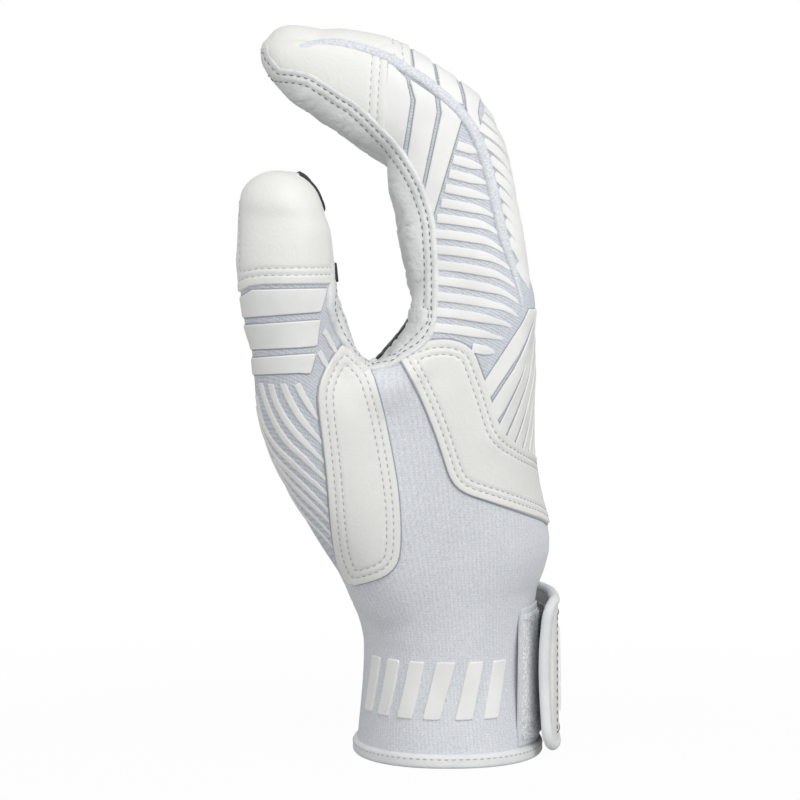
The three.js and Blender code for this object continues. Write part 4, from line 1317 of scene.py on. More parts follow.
def evened(line):
    for _ in range(3):
        line[1:-1] = (line[:-2] + line[1:-1] * 2 + line[2:]) / 4
    return line


def length_of(line):
    return np.linalg.norm(np.diff(line[:, :3], axis=0), axis=1).sum()


def named_tree(name, sizes):
    """An empty node tree with a geometry input, named sizes, a finish and a geometry output."""
    tree = bpy.data.node_groups.new(name, "GeometryNodeTree")
    tree.interface.new_socket("Geometry", in_out="INPUT", socket_type="NodeSocketGeometry")
    for size in sizes:
        tree.interface.new_socket(size, in_out="INPUT", socket_type="NodeSocketFloat")
    tree.interface.new_socket("Finish", in_out="INPUT", socket_type="NodeSocketMaterial")
    tree.interface.new_socket("Geometry", in_out="OUTPUT", socket_type="NodeSocketGeometry")
    entry = tree.nodes.new("NodeGroupInput")
    return tree, Dye(tree), {socket.name: Dye(tree, socket) for socket in entry.outputs if socket.name}


def close_tree(tree, dye, made, finish):
    made = dye.make("GeometryNodeRealizeInstances", {"Geometry": made})
    made = dye.make("GeometryNodeSetShadeSmooth", {"Geometry": made})
    made = dye.make("GeometryNodeSetMaterial", {"Geometry": made, "Material": finish})
    tree.links.new(made.socket, tree.nodes.new("NodeGroupOutput").inputs[0])
    return tree


def stepped(dye, given, step):
    """The given lines as curves, with a point at every step."""
    course = dye.make("GeometryNodeMeshToCurve", {"Mesh": given["Geometry"]})
    return dye.make("GeometryNodeResampleCurve", {"Curve": course, "Length": step}, mode="LENGTH")


def rib_tree():
    """Sweeps a low strip with rounded shoulders along each line, as broad at every point as its size says."""
    tree, dye, given = named_tree("moulded_rib", ("Width", "Height", "Shoulder"))
    course = stepped(dye, given, rib_step)
    up = dye.stored("up")
    course = dye.make("GeometryNodeSetCurveNormal", {"Curve": course, "Normal": up}, mode="FREE")
    ring = dye.make("GeometryNodeCurvePrimitiveQuadrilateral",
                    {"Width": given["Height"] * 2.0, "Height": given["Width"]})
    ring = dye.make("GeometryNodeFilletCurve", {"Curve": ring, "Count": 3, "Limit Radius": True,
                                                "Radius": given["Shoulder"]}, mode="POLY")
    size = dye.stored("size", "FLOAT")
    swept = dye.make("GeometryNodeCurveToMesh", {"Curve": course, "Profile Curve": ring, "Scale": size,
                                                 "Fill Caps": True})
    return close_tree(tree, dye, swept, given["Finish"])


def course(line, size=1.0):
    """A line for a node tree: its points, the skin's direction there and how large the strip is."""
    return np.column_stack([line[:, :6], np.broadcast_to(size, len(line))])


def wedge(line, tip):
    """Sizes along a strip that starts broad and square and runs out to a thin tip."""
    way = way_along(line)
    share = way / way[-1]
    return (1 - (1 - tip) * smooth(share, 0.5, 1.05)) * np.sqrt(np.clip((way[-1] - way + 0.05) / 0.7, 0, 1))


def marked(name, points, edges, **marks):
    """A mesh of loose points and edges that carries the value of each mark at every point."""
    data = bpy.data.meshes.new(name)
    data.from_pydata(row(points).tolist(), edges, [])
    for mark, values in marks.items():
        kind, key = ("FLOAT_VECTOR", "vector") if values.ndim == 2 else ("FLOAT", "value")
        data.attributes.new(mark, kind, "POINT").data.foreach_set(key, values.ravel())
    return data


def grown(name, tree, lines, finish, **sizes):
    """A mesh that a node tree grows along lines on the skin, given as points with the skin's direction there."""
    whole = np.concatenate(lines)
    starts = np.cumsum([0] + [len(line) for line in lines])
    edges = [(i, i + 1) for start, stop in zip(starts[:-1], starts[1:]) for i in range(start, stop - 1)]
    data = marked(name, whole[:, :3], edges, up=whole[:, 3:6], size=whole[:, 6])
    return evaluated(name, data, tree, finish, sizes)


def evaluated(name, data, tree, finish, sizes):
    """What a node tree makes of a mesh, as a plain mesh."""
    piece = bpy.data.objects.new(name, data)
    scene.collection.objects.link(piece)
    modifier = piece.modifiers.new("grow", "NODES")
    modifier.node_group = tree
    for item in tree.interface.items_tree:
        if item.in_out == "INPUT" and item.name in sizes:
            modifier[item.identifier] = sizes[item.name]
        if item.in_out == "INPUT" and item.name == "Finish":
            modifier[item.identifier] = finish
    bpy.context.view_layer.update()
    grown_mesh = bpy.data.meshes.new_from_object(piece.evaluated_get(bpy.context.evaluated_depsgraph_get()))
    piece.modifiers.clear()
    piece.data = grown_mesh
    grown_mesh.name = name
    bpy.data.meshes.remove(data)
    return piece


rib_step = 0.0007
rib = rib_tree()
rib_foot = (photo_foot - 330) * photo_pixel
rib_pitch = 15.65 * photo_pixel
rib_left = (438 - photo_left) * photo_pixel
rib_shape = {"Width": 0.0024, "Height": 0.0005, "Shoulder": 0.0003}
rib_tip = 0.35
rib_least = 4.2
rib_droop = 2.6
chevron_heights = (122, 135, 150, 170)
chevron_steeps = (2.6, 2.2, 1.4, 0.8)


def rib_level(spots):
    """Height of a point counted along the ribs, which droop from the leather margin towards the ridge."""
    out = np.maximum(spots[:, 0] - rib_left, 0)
    steeper = 0.0085 * np.maximum(spots[:, 1] - 140.4, 0) * out
    return spots[:, 1] + 0.08 * out + 0.0052 * out**2 + steeper


def from_side(line, column):
    """The line turned so that it starts where column is least."""
    return line if line[0, column] < line[-1, column] else line[::-1]


bars_end = outline((480, 60), (470, 112), (459, 127), (447, 170), (434, 219), (426, 245))
back_bars_end = outline((500, 60), (486, 92), (482, 103), (479, 120), (470, 150))
for name, finger in fingers.items():
    aside = np.abs(skin["knuckle_y"] - finger["place"] * finger_pitch)
    cloth = skin.cut(skin["knuckle_way"] + 16, finger_pitch / 2 - aside, -skin["free_thumb"])
    spots, aside, way = as_index(cloth.points, finger)
    ridge_side = beside(spots, ridge)
    slant = slant_of(cloth.points, spots)
    level = rib_level(spots)
    chevron = level - np.interp(spots[:, 1], chevron_heights, chevron_steeps) * (np.abs(aside) - 8)
    level = level + rib_droop * np.clip(1 - ridge_side / 6, 0, 1) ** 2 * smooth(-spots[:, 1], -152, -136)
    clear = np.minimum.reduce([0.7 - within(spots, fork), slant_start - 1.0 - slant])
    past_bars = beside(spots, back_bars_end[::-1]) - 0.8
    zones = [(np.minimum.reduce([-ridge_side - 1.1, clear, past_bars, aside * side - 0.35]), chevron,
              -np.abs(aside)) for side in (-1, 1)]
    if name in outer_side:
        wound_here = np.column_stack([cloth["turn"] * hand_arc, cloth["z"]])
        on_side = within(wound_here, side_ring) if name == "index" else np.full(len(way), off_panel)
        zones.append((np.minimum.reduce([ridge_side - 0.9, aside * outer_side[name] - 2, clear, -0.2 - on_side,
                                         beside(spots, bars_end[::-1]) - 1.0]), level, spots[:, 0]))
    lines = {"low": [], "high": []}
    for zone_field, height, start in zones:
        strip = cloth.carrying(way, start, height).cut(zone_field)
        for count in range(-2, 18):
            field = strip.table[:, -1] - rib_foot - count * rib_pitch
            if field.min() > 0 or field.max() < 0:
                continue
            for line in contours(strip, field):
                if length_of(line) > rib_least:
                    line = from_side(line, -2)
                    half = "high" if line[:, -3].mean() > finger["base"] * half_share else "low"
                    lines[half].append(course(line, wedge(line, rib_tip)))
    for half, found in lines.items():
        if found:
            sew_on(grown(f"{name}_{half}_ribs", rib, found, rubber, **rib_shape), f"{name}_{half}", "ribbed_mesh")

skin_tree = BVHTree.FromPolygons(skin_points.tolist(), skin_faces.tolist())


def draped(line, step=0.8):
    """A line of the side view laid onto the skin as seen from the viewpoint."""
    way = way_along(line)
    found = []
    for along in np.linspace(0, way[-1], max(3, int(way[-1] / step))):
        across, up = spline(along, way, line[:, 0]), spline(along, way, line[:, 1])
        aim = look_at + (1, 0, 0) * np.array(across - look_at[0]) + view_up * (up - look_at[2]) - eye
        place, normal, _, _ = skin_tree.ray_cast(Vector(eye), Vector(aim).normalized())
        if place:
            found.append((*place, *normal))
    return evened(np.array(found))


def carried_on(line, reach, top, others, step=0.8):
    """A line carried on from its start, past what the viewpoint shows, to leather, a bar or another line."""
    place, ahead, before = line[0, :3], line[0, :3] - line[4, :3], []
    taken = np.array([spot[:3] for other in others for spot in other] or [(0, 0, 1000)])
    for _ in range(int(reach / step)):
        ahead = ahead / np.linalg.norm(ahead)
        spot, normal, face, _ = skin_tree.find_nearest(Vector(place + ahead * step))
        if spot.z > top or skin["leather"][skin_faces[face]].max() > -1.5:
            break
        if np.linalg.norm(taken - np.array(spot), axis=1).min() < fan_room:
            break
        before.append((*spot, *normal))
        ahead = np.array(spot) - place
        place = np.array(spot)
    return evened(np.array(before[::-1] + line.tolist()))


fan_ribs = (outline((297, 384), (302, 394), (308, 404), (318, 420)),
            outline((283, 384), (287, 394), (293, 406), (302, 420), (313, 433), (326, 447)),
            outline((271, 384), (274, 396), (281, 412), (290, 426), (302, 440), (314, 452), (328, 466)),
            outline((261, 383), (265, 398), (271, 414), (279, 430), (289, 444), (302, 456), (316, 470),
                    (332, 485)),
            outline((257.5, 396), (260, 412), (266, 430), (276, 446), (288, 458), (302, 472), (316, 484),
                    (334, 501)),
            outline((262.5, 430), (270, 448), (280, 462), (294, 476), (308, 490), (322, 504), (335, 518)),
            outline((274, 458), (284, 474), (298, 490), (312, 504), (333, 525)),
            outline((285, 482), (298, 500), (312, 514), (334, 537)),
            outline((295, 502), (306, 518), (320, 532), (335, 549)))
fork_ribs = (outline((324, 331), (330, 342), (337, 354)), outline((319, 352), (323, 360), (329, 369)))
fan_top, fan_room, fan_reach, fan_tip = 96.5, 2.7, 24, 0.45
fork_rib_tip = 0.5
fan_shape = {"Width": 0.0017, "Height": 0.0004, "Shoulder": 0.00025}
fan = []
for line in fan_ribs:
    fan.append(carried_on(draped(line), fan_reach, fan_top, fan))
sew_on(grown("thumb_root_ribs", rib, [course(line, wedge(line, fan_tip)) for line in fan], rubber, **fan_shape),
       "hand", "ribbed_mesh")
small = [draped(line, 0.5) for line in fork_ribs]
sew_on(grown("thumb_fork_ribs", rib, [course(line, wedge(line, fork_rib_tip)) for line in small], rubber,
             **fan_shape), "thumb_low", "ribbed_mesh")


# Piping: a soft filler under stretch cloth along the ridge between each finger's back and its sides, from the tip
# cap down to the knuckle, where it runs out.

def piping_dye(place):
    thread = place.stretched(1500.0, 1500.0, 2600.0).clouds(1.0, 2.0)
    tone = thread.between(0.3, 0.7).mix(colour(0.60, 0.63, 0.675), colour(0.78, 0.80, 0.83))
    return dyed_with(tone, thread * 0.1 + 0.7, thread.bump(0.5, 0.0003))


piping = finish_of("piping", piping_dye, Specular_IOR_Level=0.25, Sheen_Weight=0.3, Sheen_Roughness=0.4)
piping_least = 12
piping_start, piping_end, piping_blunt = 14, 22, 0.4
piping_shape = {"Width": 0.0029, "Height": 0.001, "Shoulder": 0.00098}


def split_lines(line, cut, column):
    """A line in two at a level of column, one part for each length."""
    low = line[:, column] < cut
    pieces = {"low": [], "high": []}
    start = 0
    for stop in range(1, len(line) + 1):
        if stop == len(line) or low[stop] != low[start]:
            piece = line[max(0, start - 1):stop]
            if len(piece) > 2:
                pieces["low" if low[start] else "high"].append(piece)
            start = stop
    return pieces


for name, finger in fingers.items():
    cloth = finger_skins[name]
    strip = cloth.cut(np.abs(cloth["sides"]) - 2.0, -1.0 - cloth["leather"])
    lines = {"low": [], "high": []}
    for line in contours(strip, beside(strip.spots, ridge)):
        if length_of(line) < piping_least:
            continue
        line = from_side(line, columns["across"])
        way = way_along(line)
        size = np.clip((way + piping_blunt) / piping_start, 0, 1) ** 0.5
        size = size * np.clip((way[-1] - way + piping_blunt) / piping_end, 0, 1) ** 0.6
        sized = np.column_stack([line[:, :6], size, line[:, columns["base_way"]]])
        halves = split_lines(sized, finger["base"] * half_share, 7)
        for half, found in halves.items():
            lines[half] += [piece[:, :7] for piece in found]
    for half, found in lines.items():
        if found:
            sew_on(grown(f"{name}_{half}_piping", rib, found, piping, **piping_shape), f"{name}_{half}",
                   "ribbed_mesh")


# Stitches: two rows of thread along each sewn edge, near black on the palm leather, where the thread's tone also
# paints the shade of the thread sunk in its holes, and pale on the white leather. Each stitch is a short bead
# that is pulled down into the leather.

def stitch_tree():
    """Lays one thread bead after another along each line, with a gap between them."""
    tree, dye, given = named_tree("thread_row", ("Pitch", "Length", "Thickness"))
    course = stepped(dye, given, given["Pitch"])
    up = dye.stored("up")
    run = dye.make("GeometryNodeInputTangent")
    turned = dye.make("FunctionNodeAxesToRotation", {"Primary Axis": run, "Secondary Axis": up},
                      primary_axis="X", secondary_axis="Z")
    bead = dye.make("GeometryNodeMeshUVSphere", {"Segments": 8, "Rings": 6, "Radius": 0.5})
    size = dye.make("ShaderNodeCombineXYZ", {"X": given["Length"], "Y": given["Thickness"],
                                             "Z": given["Thickness"] * 0.8})
    laid = dye.make("GeometryNodeInstanceOnPoints", {"Points": course, "Instance": bead, "Rotation": turned,
                                                     "Scale": size})
    return close_tree(tree, dye, laid, given["Finish"])


def thread_finish(name, dark, pale):
    def thread_dye(place):
        ply = place.clouds(3500.0, 1.0)
        return dyed_with(ply.between(0.3, 0.7).mix(dark, pale), ply * 0.2 + 0.5)
    return finish_of(name, thread_dye, Specular_IOR_Level=0.3)


# Near-black thread: its tone is partly the thread and partly painted shade in the needle holes.
thread_with_painted_shade = thread_finish("thread_with_painted_shade", colour(0.15, 0.155, 0.16), colour(0.26, 0.265, 0.27))
pale_thread = thread_finish("pale_thread", colour(0.42, 0.43, 0.43), colour(0.55, 0.555, 0.55))
cap_thread = thread_finish("cap_thread", colour(0.52, 0.525, 0.515), colour(0.64, 0.64, 0.63))
stitch = stitch_tree()
row_least, thread_proud = 3.0, 0.06
leather_clear, ridge_clear = 0.4, 1.3
stitch_shape = {"Pitch": 0.0019, "Length": 0.0012, "Thickness": 0.00034}


def sewn_rows(cloth, field, levels, lift, keep=None):
    """Lines of stitching at several depths inside a panel's edge, raised onto its face."""
    if keep is not None:
        cloth = cloth.carrying(field).cut(keep)
        field = cloth.table[:, -1]
    lines = []
    for line in [line for level in levels for line in contours(cloth, field - level)]:
        if length_of(line) > row_least:
            normals = unit(line[:, 3:6])
            raised = line[:, :3] + normals * (lift - stitch_press + thread_proud)
            lines.append(course(np.column_stack([raised, normals])))
    return lines


def sew_rows(name, lines, thread, zone, slot):
    if lines:
        sew_on(grown(name, stitch, lines, thread, **stitch_shape), zone, slot)


def sew_margins(name, cloth, beyond):
    """The rows along the leather margin of a finger or the thumb, those of each length apart."""
    for half, sign in (("low", -1), ("high", 1)):
        lines = sewn_rows(cloth, cloth["leather"], margin_rows, leather_lap["lift"], sign * beyond)
        sew_rows(f"{name}_{half}_stitches", lines, thread_with_painted_shade, f"{name}_{half}", "palm_leather")


leaf_lines = sewn_rows(leaf_cut, leaf_cut.edge, leaf_rows, overlay_lap["lift"])
sew_rows("thumb_leaf_stitches", leaf_lines, pale_thread, "thumb_low", "white_leather")
side_lines = sewn_rows(side_cut, side_cut.edge, side_rows, overlay_lap["lift"])
sew_rows("side_overlay_stitches", side_lines, pale_thread, "hand", "white_leather")
palm_lines = sewn_rows(palm, palm.edge, margin_rows, leather_lap["lift"])
sew_rows("palm_stitches", palm_lines, thread_with_painted_shade, "hand", "palm_leather")
for name, cloth in finger_skins.items():
    beyond = cloth["base_way"] - fingers[name]["base"] * half_share
    sew_margins(name, cloth, beyond)
    lines = []
    for sign, cap_line in ((1, cap_side), (-1, cap_back)):
        depth = beside(cloth.spots, cap_line[::-1])
        keep = np.minimum.reduce([beyond, -leather_clear - cloth["leather"],
                                  beside(cloth.spots, ridge) * sign - ridge_clear])
        lines += sewn_rows(cloth, depth, cap_rows, cap_lap["lift"], keep)
    sew_rows(f"{name}_cap_stitches", lines, cap_thread, f"{name}_high", "white_leather")
sew_margins("thumb", thumb, beyond_half)
lines = sewn_rows(thumb, within(thumb.spots, thumb_cap_edge), thumb_cap_rows, cap_lap["lift"],
                  np.minimum(beyond_half, -leather_clear - thumb["leather"]))
sew_rows("thumb_cap_stitches", lines, cap_thread, "thumb_high", "white_leather")


# Edge lines: the thin dark grey line round each bar and each overlay, where the white face stops and the bare
# edge of the rubber or the leather shows. Its grey is partly that bare edge and partly painted contact shade, and
# the lines round the overlays are drawn wider for their broader painted shade.

edge_shape = {"Width": 0.00052, "Height": 0.00014, "Shoulder": 0.0001}
# Dark grey for the bare cut edge, darkened further as painted contact shade.
edge_shade_grey = thread_finish("edge_and_painted_shade", colour(0.30, 0.32, 0.35), colour(0.42, 0.44, 0.47))
overlay_shade_size = 1.7
shade_edge_lines.append(("thumb_leaf_shade_edge", leaf_cut, leaf_cut.edge - shade_line_inset, "thumb_low"))
shade_edge_lines.append(("side_overlay_shade_edge", side_cut, side_cut.edge - shade_line_inset, "hand"))
for name, cloth, field, zone in shade_edge_lines:
    size = overlay_shade_size if name in ("thumb_leaf_shade_edge", "side_overlay_shade_edge") else 1.0
    lines = [course(line, size) for line in contours(cloth, field) if length_of(line) > 1.5]
    sew_on(grown(name, rib, lines, edge_shade_grey, **edge_shape), zone, "ribbed_mesh")


# Hem: a strip of white tape folded over the raw lower edge of the wrist panel. It stops at both sides of the vent
# that the strap covers.

def solid(name, rings, finish):
    """A closed piece through rings of points."""
    points, faces = closed(np.asarray(rings, float), 0)
    corners = np.array([[face[0], face[k], face[k + 1]] for face in faces for k in range(1, len(face) - 1)])
    a, b, c = (points[corners[:, k]] - points.mean(axis=0) for k in range(3))
    if np.einsum("ij,ij->", a, np.cross(b, c)) < 0:
        corners = corners[:, ::-1]
    return mesh_object(name, points, corners, finish)


def tape_dye(place):
    cloud = place.clouds(120.0, 3.0)
    thread = place.clouds(1900.0, 2.0)
    tone = cloud.between(0.3, 0.7).mix(colour(0.72, 0.735, 0.745), colour(0.80, 0.81, 0.81))
    return dyed_with(tone, cloud * 0.1 + 0.5, thread.bump(0.3, 0.0002))


tape = finish_of("edge_tape", tape_dye, Specular_IOR_Level=0.35, Sheen_Weight=0.1)
hem_height = 3.6
hem_out = 1.6
hem_in = -0.9
hem_fold = 0.95
vent_edges = [math.asin(min(1, (side + vent_middle) / (hand_sections["breadth"][0] / 2)))
              for side in (-vent_half, vent_half)]
hem_turns = np.linspace(vent_edges[1], vent_edges[0] + 2 * math.pi, 181)


def rounded(low, high, inner, outer, bend, count):
    """Corners of a rounded strip's section, as off and height."""
    bend = min(bend, (high - low) / 2 - 0.01, (outer - inner) / 2 - 0.01)
    corners = ((outer - bend, low + bend, -90), (outer - bend, high - bend, 0), (inner + bend, high - bend, 90),
               (inner + bend, low + bend, 180))
    return np.array([(x + bend * math.cos(math.radians(start + 90 * k / count)),
                      z + bend * math.sin(math.radians(start + 90 * k / count)))
                     for x, z, start in corners for k in range(count + 1)])


def round_wrist(turns, section):
    return np.array([hand_skin(np.full(len(section), turn), section[:, 1], section[:, 0]) for turn in turns])


hem_section = rounded(0.05, hem_height, hem_in, hem_out, hem_fold, 6)
sew_on(solid("hem", round_wrist(hem_turns, hem_section), tape), "hand", "binding", "cuff_binding")


# Loop pad: brushed grey loops woven on a pale base, sewn round its edge to the thumb side of the wrist. The
# strap's hooks fasten on it.

def pile_finish(name, dark, pale):
    def pile_dye(place):
        cloud = place.clouds(1500.0, 2.0)
        return dyed_with(cloud.between(0.35, 0.65).mix(dark, pale), cloud * 0.2 + 0.6)
    return finish_of(name, pile_dye, Specular_IOR_Level=0.3, Sheen_Weight=0.2)


def plant_tree(name, bend_back):
    """Stands a small bent filament on every point, its foot on the cloth and its top bowed over."""
    tree, dye, given = named_tree(name, ("Height", "Thickness"))
    arc = dye.make("GeometryNodeCurveArc", {"Resolution": 7, "Radius": 1.0, "Start Angle": 0.0,
                                            "Sweep Angle": bend_back}, mode="RADIUS")
    upright = dye.make("GeometryNodeTransform", {"Geometry": arc, "Rotation": (math.pi / 2, 0, 0)})
    ring = dye.make("GeometryNodeCurvePrimitiveCircle", {"Resolution": 4, "Radius": 1.0})
    thin = dye.sum("DIVIDE", given["Thickness"], given["Height"])
    narrow = dye.make("ShaderNodeCombineXYZ", {"X": thin, "Y": thin, "Z": 1.0})
    sized = dye.make("GeometryNodeTransform", {"Geometry": ring, "Scale": narrow})
    filament = dye.make("GeometryNodeCurveToMesh", {"Curve": upright, "Profile Curve": sized, "Fill Caps": True})
    up = dye.stored("up")
    along = dye.stored("along")
    turned = dye.make("FunctionNodeAxesToRotation", {"Primary Axis": up, "Secondary Axis": along},
                      primary_axis="Z", secondary_axis="X")
    scale = dye.make("ShaderNodeCombineXYZ", {axis: given["Height"] for axis in "XYZ"})
    planted = dye.make("GeometryNodeInstanceOnPoints", {"Points": given["Geometry"], "Instance": filament,
                                                        "Rotation": turned, "Scale": scale})
    return close_tree(tree, dye, planted, given["Finish"])


loop_dark = pile_finish("loop_pile", colour(0.62, 0.64, 0.66), colour(0.95, 0.97, 0.98))
pad_turns = np.radians(np.linspace(-41, -2, 40))
pad_low, pad_high = 4.2, 40.4
pad_border = 1.6
pad_out = 1.0
pad_lean = 4.0


def leaning_turns(turns, height, lean):
    """Turns of a strip whose free end leans by lean degrees between its lower and its upper side."""
    share = (turns - turns[-1]) / (turns[0] - turns[-1])
    return turns + np.radians(lean) * share * (height / 40 - 0.6)


def sheet(turns, low, high, inner, outer, bend, lean, lift=None):
    """A flat strip round the wrist, with rounded sides."""
    section = rounded(low, high, inner, outer, bend, 5)
    extra = lift(np.degrees(turns)) if lift else np.zeros(len(turns))
    return np.array([[hand_skin(np.array(leaning_turns(turns, z, lean)[k]), np.array(z), off + extra[k])
                      for off, z in section] for k in range(len(turns))])


pad_rings = sheet(pad_turns, pad_low, pad_high, 0.2, pad_out, 0.4, pad_lean)
sew_on(solid("loop_pad", pad_rings, knit), "hand", "loop_pile", "loop_pad")
bed_turns = np.radians(np.linspace(-38, -4, 36))
bed_low, bed_high = pad_low + pad_border, pad_high - pad_border
bed_rings = sheet(bed_turns, bed_low, bed_high, 0.8, pad_out + 0.35, 0.4, pad_lean)
sew_on(solid("loop_bed", bed_rings, loop_dark), "hand", "loop_pile")


def scattered(turns, low, high, off, lean, pitch, jitter, lift=None, facing_out=1):
    """Points on a strip round the wrist, about pitch apart, with the directions up from it and along it."""
    draw = np.random.default_rng(11)
    across = np.arange(low, high, pitch)
    reach = abs(math.degrees(turns[-1] - turns[0])) * math.radians(1) * 29
    shares = np.linspace(0, 1, int(reach / pitch))
    share, z = (grid.ravel() for grid in np.meshgrid(shares, across, indexing="ij"))
    share = np.clip(share + draw.uniform(-jitter, jitter, len(share)) / reach, 0, 1)
    z = np.clip(z + draw.uniform(-jitter, jitter, len(z)), low, high)
    turn_here = turns[0] + (turns[-1] - turns[0]) * share
    turn_here = turn_here + np.radians(lean) * (1 - share) * (z / 40 - 0.6)
    rise = lift(np.degrees(turns[0] + (turns[-1] - turns[0]) * share)) if lift else 0.0
    points = hand_skin(turn_here, z, off + rise)
    step = 0.01
    on = unit(hand_skin(turn_here + step, z, off + rise) - points)
    up = np.cross(on, (0, 0, 1.0)) * facing_out
    spin = draw.uniform(0, 2 * math.pi, len(z)) if jitter else np.zeros(len(z))
    level = np.cross(up, on)
    along = on * np.cos(spin)[:, None] + level * np.sin(spin)[:, None]
    return points, up, along


def planted(name, tree, points, up, along, finish, **sizes):
    return evaluated(name, marked(name, points, [], up=up, along=along), tree, finish, sizes)


loop_pitch, loop_jitter, loop_inset = 0.62, 0.3, 0.4
loops = plant_tree("pile_loop", math.pi)
points, up, along = scattered(bed_turns, bed_low + loop_inset, bed_high - loop_inset, pad_out + 0.3, pad_lean,
                              loop_pitch, loop_jitter)
sew_on(planted("loop_pile", loops, points, up, along, loop_dark, Height=0.0006, Thickness=0.00007), "hand",
       "loop_pile")


# Strap: a stiff leather band over the back of the wrist, taped down at its sewn end, bound with a soft roll and
# faced underneath with moulded hooks.

def strap_lift(degrees):
    rise = 4.3 - 1.7 * smooth(degrees, 26, 62)
    return rise + 1.2 * (1 - smooth(degrees, -26, 0))


strap_turns = np.radians(np.linspace(-27, 72, 90))
strap_low, strap_high = 3.6, 41.6
strap_thick = 1.9
strap_lean = 3.5
band_rings = sheet(strap_turns, strap_low, strap_high, 0.0, strap_thick, 0.7, strap_lean, strap_lift)
sew_on(solid("strap_band", band_rings, white_leather), "strap", "white_leather", "strap_band")

roll_size = 1.4
roll_ring = np.linspace(0, 2 * math.pi, 14, endpoint=False)


def strap_point(degrees, height, off=strap_thick / 2):
    turns = np.radians(degrees) + np.radians(strap_lean) * (72 - degrees) / 99 * (height / 40 - 0.6)
    return hand_skin(np.array(turns), np.array(height), off + strap_lift(np.array(degrees)))


corner = 5.0
free_end = -29.5
roll_stops = [(degrees, strap_low) for degrees in np.linspace(71, free_end + corner * 1.6, 60)]
roll_stops += [(free_end + corner * 1.6 * (1 - math.sin(t)), strap_low + corner * (1 - math.cos(t)))
               for t in np.linspace(0, math.pi / 2, 9)[1:]]
roll_stops += [(free_end, height) for height in np.linspace(strap_low + corner, strap_high - corner, 16)[1:]]
roll_stops += [(free_end + corner * 1.6 * (1 - math.cos(t)), strap_high - corner * (1 - math.sin(t)))
               for t in np.linspace(0, math.pi / 2, 9)[1:]]
roll_stops += [(degrees, strap_high) for degrees in np.linspace(free_end + corner * 1.6, 71, 60)[1:]]
roll_course = np.array([strap_point(*stop) for stop in roll_stops])
roll_out = unit(np.array([strap_point(*stop, strap_thick) for stop in roll_stops]) - roll_course)
roll_side = np.cross(unit(np.gradient(roll_course, axis=0)), roll_out)
roll_sizes = roll_size * (0.25 + 0.75 * (1 - smooth(np.array([degrees for degrees, _ in roll_stops]), 66, 71)))
rolls = [centre + np.outer(np.cos(roll_ring) * size, out) + np.outer(np.sin(roll_ring) * size, side)
         for centre, out, side, size in zip(roll_course, roll_out, roll_side, roll_sizes)]
sew_on(solid("strap_roll", rolls, tape), "strap", "binding", "strap_binding")


def on_strap(degrees, height, off):
    """A point on the strap's face, which runs straight from its lower side to its upper side."""
    share = (height - strap_low) / (strap_high - strap_low)
    return strap_point(degrees, strap_low, off) * (1 - share) + strap_point(degrees, strap_high, off) * share


strap_inset = 3.4
rim_low, rim_high = strap_low + strap_inset, strap_high - strap_inset
rim_left, rim_right = -21, 60
strap_rim = [(degrees, rim_low) for degrees in np.linspace(rim_right, rim_left, 50)]
strap_rim += [(rim_left, height) for height in np.linspace(rim_low, rim_high, 20)[1:]]
strap_rim += [(degrees, rim_high) for degrees in np.linspace(rim_left, rim_right, 50)[1:]]
strap_rim += [(rim_right, height) for height in np.linspace(rim_high, rim_low, 20)[1:]]


def strap_row(stops, off):
    """A row of stitches on the strap's outer face, or on the tape that holds it."""
    rows = np.array([on_strap(*stop, off) for stop in stops])
    up = rows - np.array([on_strap(*stop, off - 1) for stop in stops])
    return course(np.column_stack([rows, unit(up)]))


sew_rows("strap_stitches", [strap_row(strap_rim, strap_thick + 0.1)], thread_with_painted_shade, "strap", "white_leather")

strap_bars = 5
bar_low, bar_high = 12, 33
bar_start, bar_pitch, bar_slant, bar_degrees = -10, 11.5, 0.45, 1.9
bar_section = rounded(-2.1, 2.1, strap_thick - 0.4, strap_thick + 0.6, 0.25, 3)
for number in range(strap_bars):
    rings = []
    for height in np.linspace(bar_low, bar_high, 14):
        degrees = (bar_start + bar_pitch * number + (height - bar_low) * bar_slant
                   + bar_section[:, 1] * bar_degrees)
        rings.append(np.array([on_strap(at, height, off) for at, off in zip(degrees, bar_section[:, 0])]))
    sew_on(solid(f"strap_bar_{number + 1}", rings, rubber), "strap", "white_leather")

tape_from, tape_middle, tape_to = 63, 73.5, 84
tape_heights = np.linspace(4.4, strap_high + 0.6, 20)
tape_rings = []
for degrees in np.linspace(tape_from, tape_to, 30):
    down = smooth(np.array(degrees), 71, 80)
    thin = 1 - 0.6 * smooth(np.abs(np.array(degrees) - tape_middle), 8.5, 10.5)
    outer, inner = (np.array([on_strap(degrees, height, strap_thick + over) * (1 - down)
                              + hand_skin(np.radians(np.array(degrees)), np.array(height), under) * down
                              for height in tape_heights])
                    for over, under in ((0.75 * thin, 0.9 * thin), (-0.2, -0.1)))
    tape_rings.append(np.concatenate([outer, inner[::-1]]))
bends["strap_root"] = ("hand", "strap", row(hand_skin(np.radians(79), np.array(24.0), 1.0)),
                       row(strap_point(70, 24.0)))
sew_on(solid("strap_root_tape", tape_rings, tape), "strap_root", "binding")
tape_rows = [[(degrees, height) for height in np.linspace(6, strap_high - 1.5, 24)] for degrees in (65.2, 67.6)]
sew_rows("strap_root_stitches", [strap_row(stops, strap_thick + 0.8) for stops in tape_rows], thread_with_painted_shade,
         "strap", "binding")

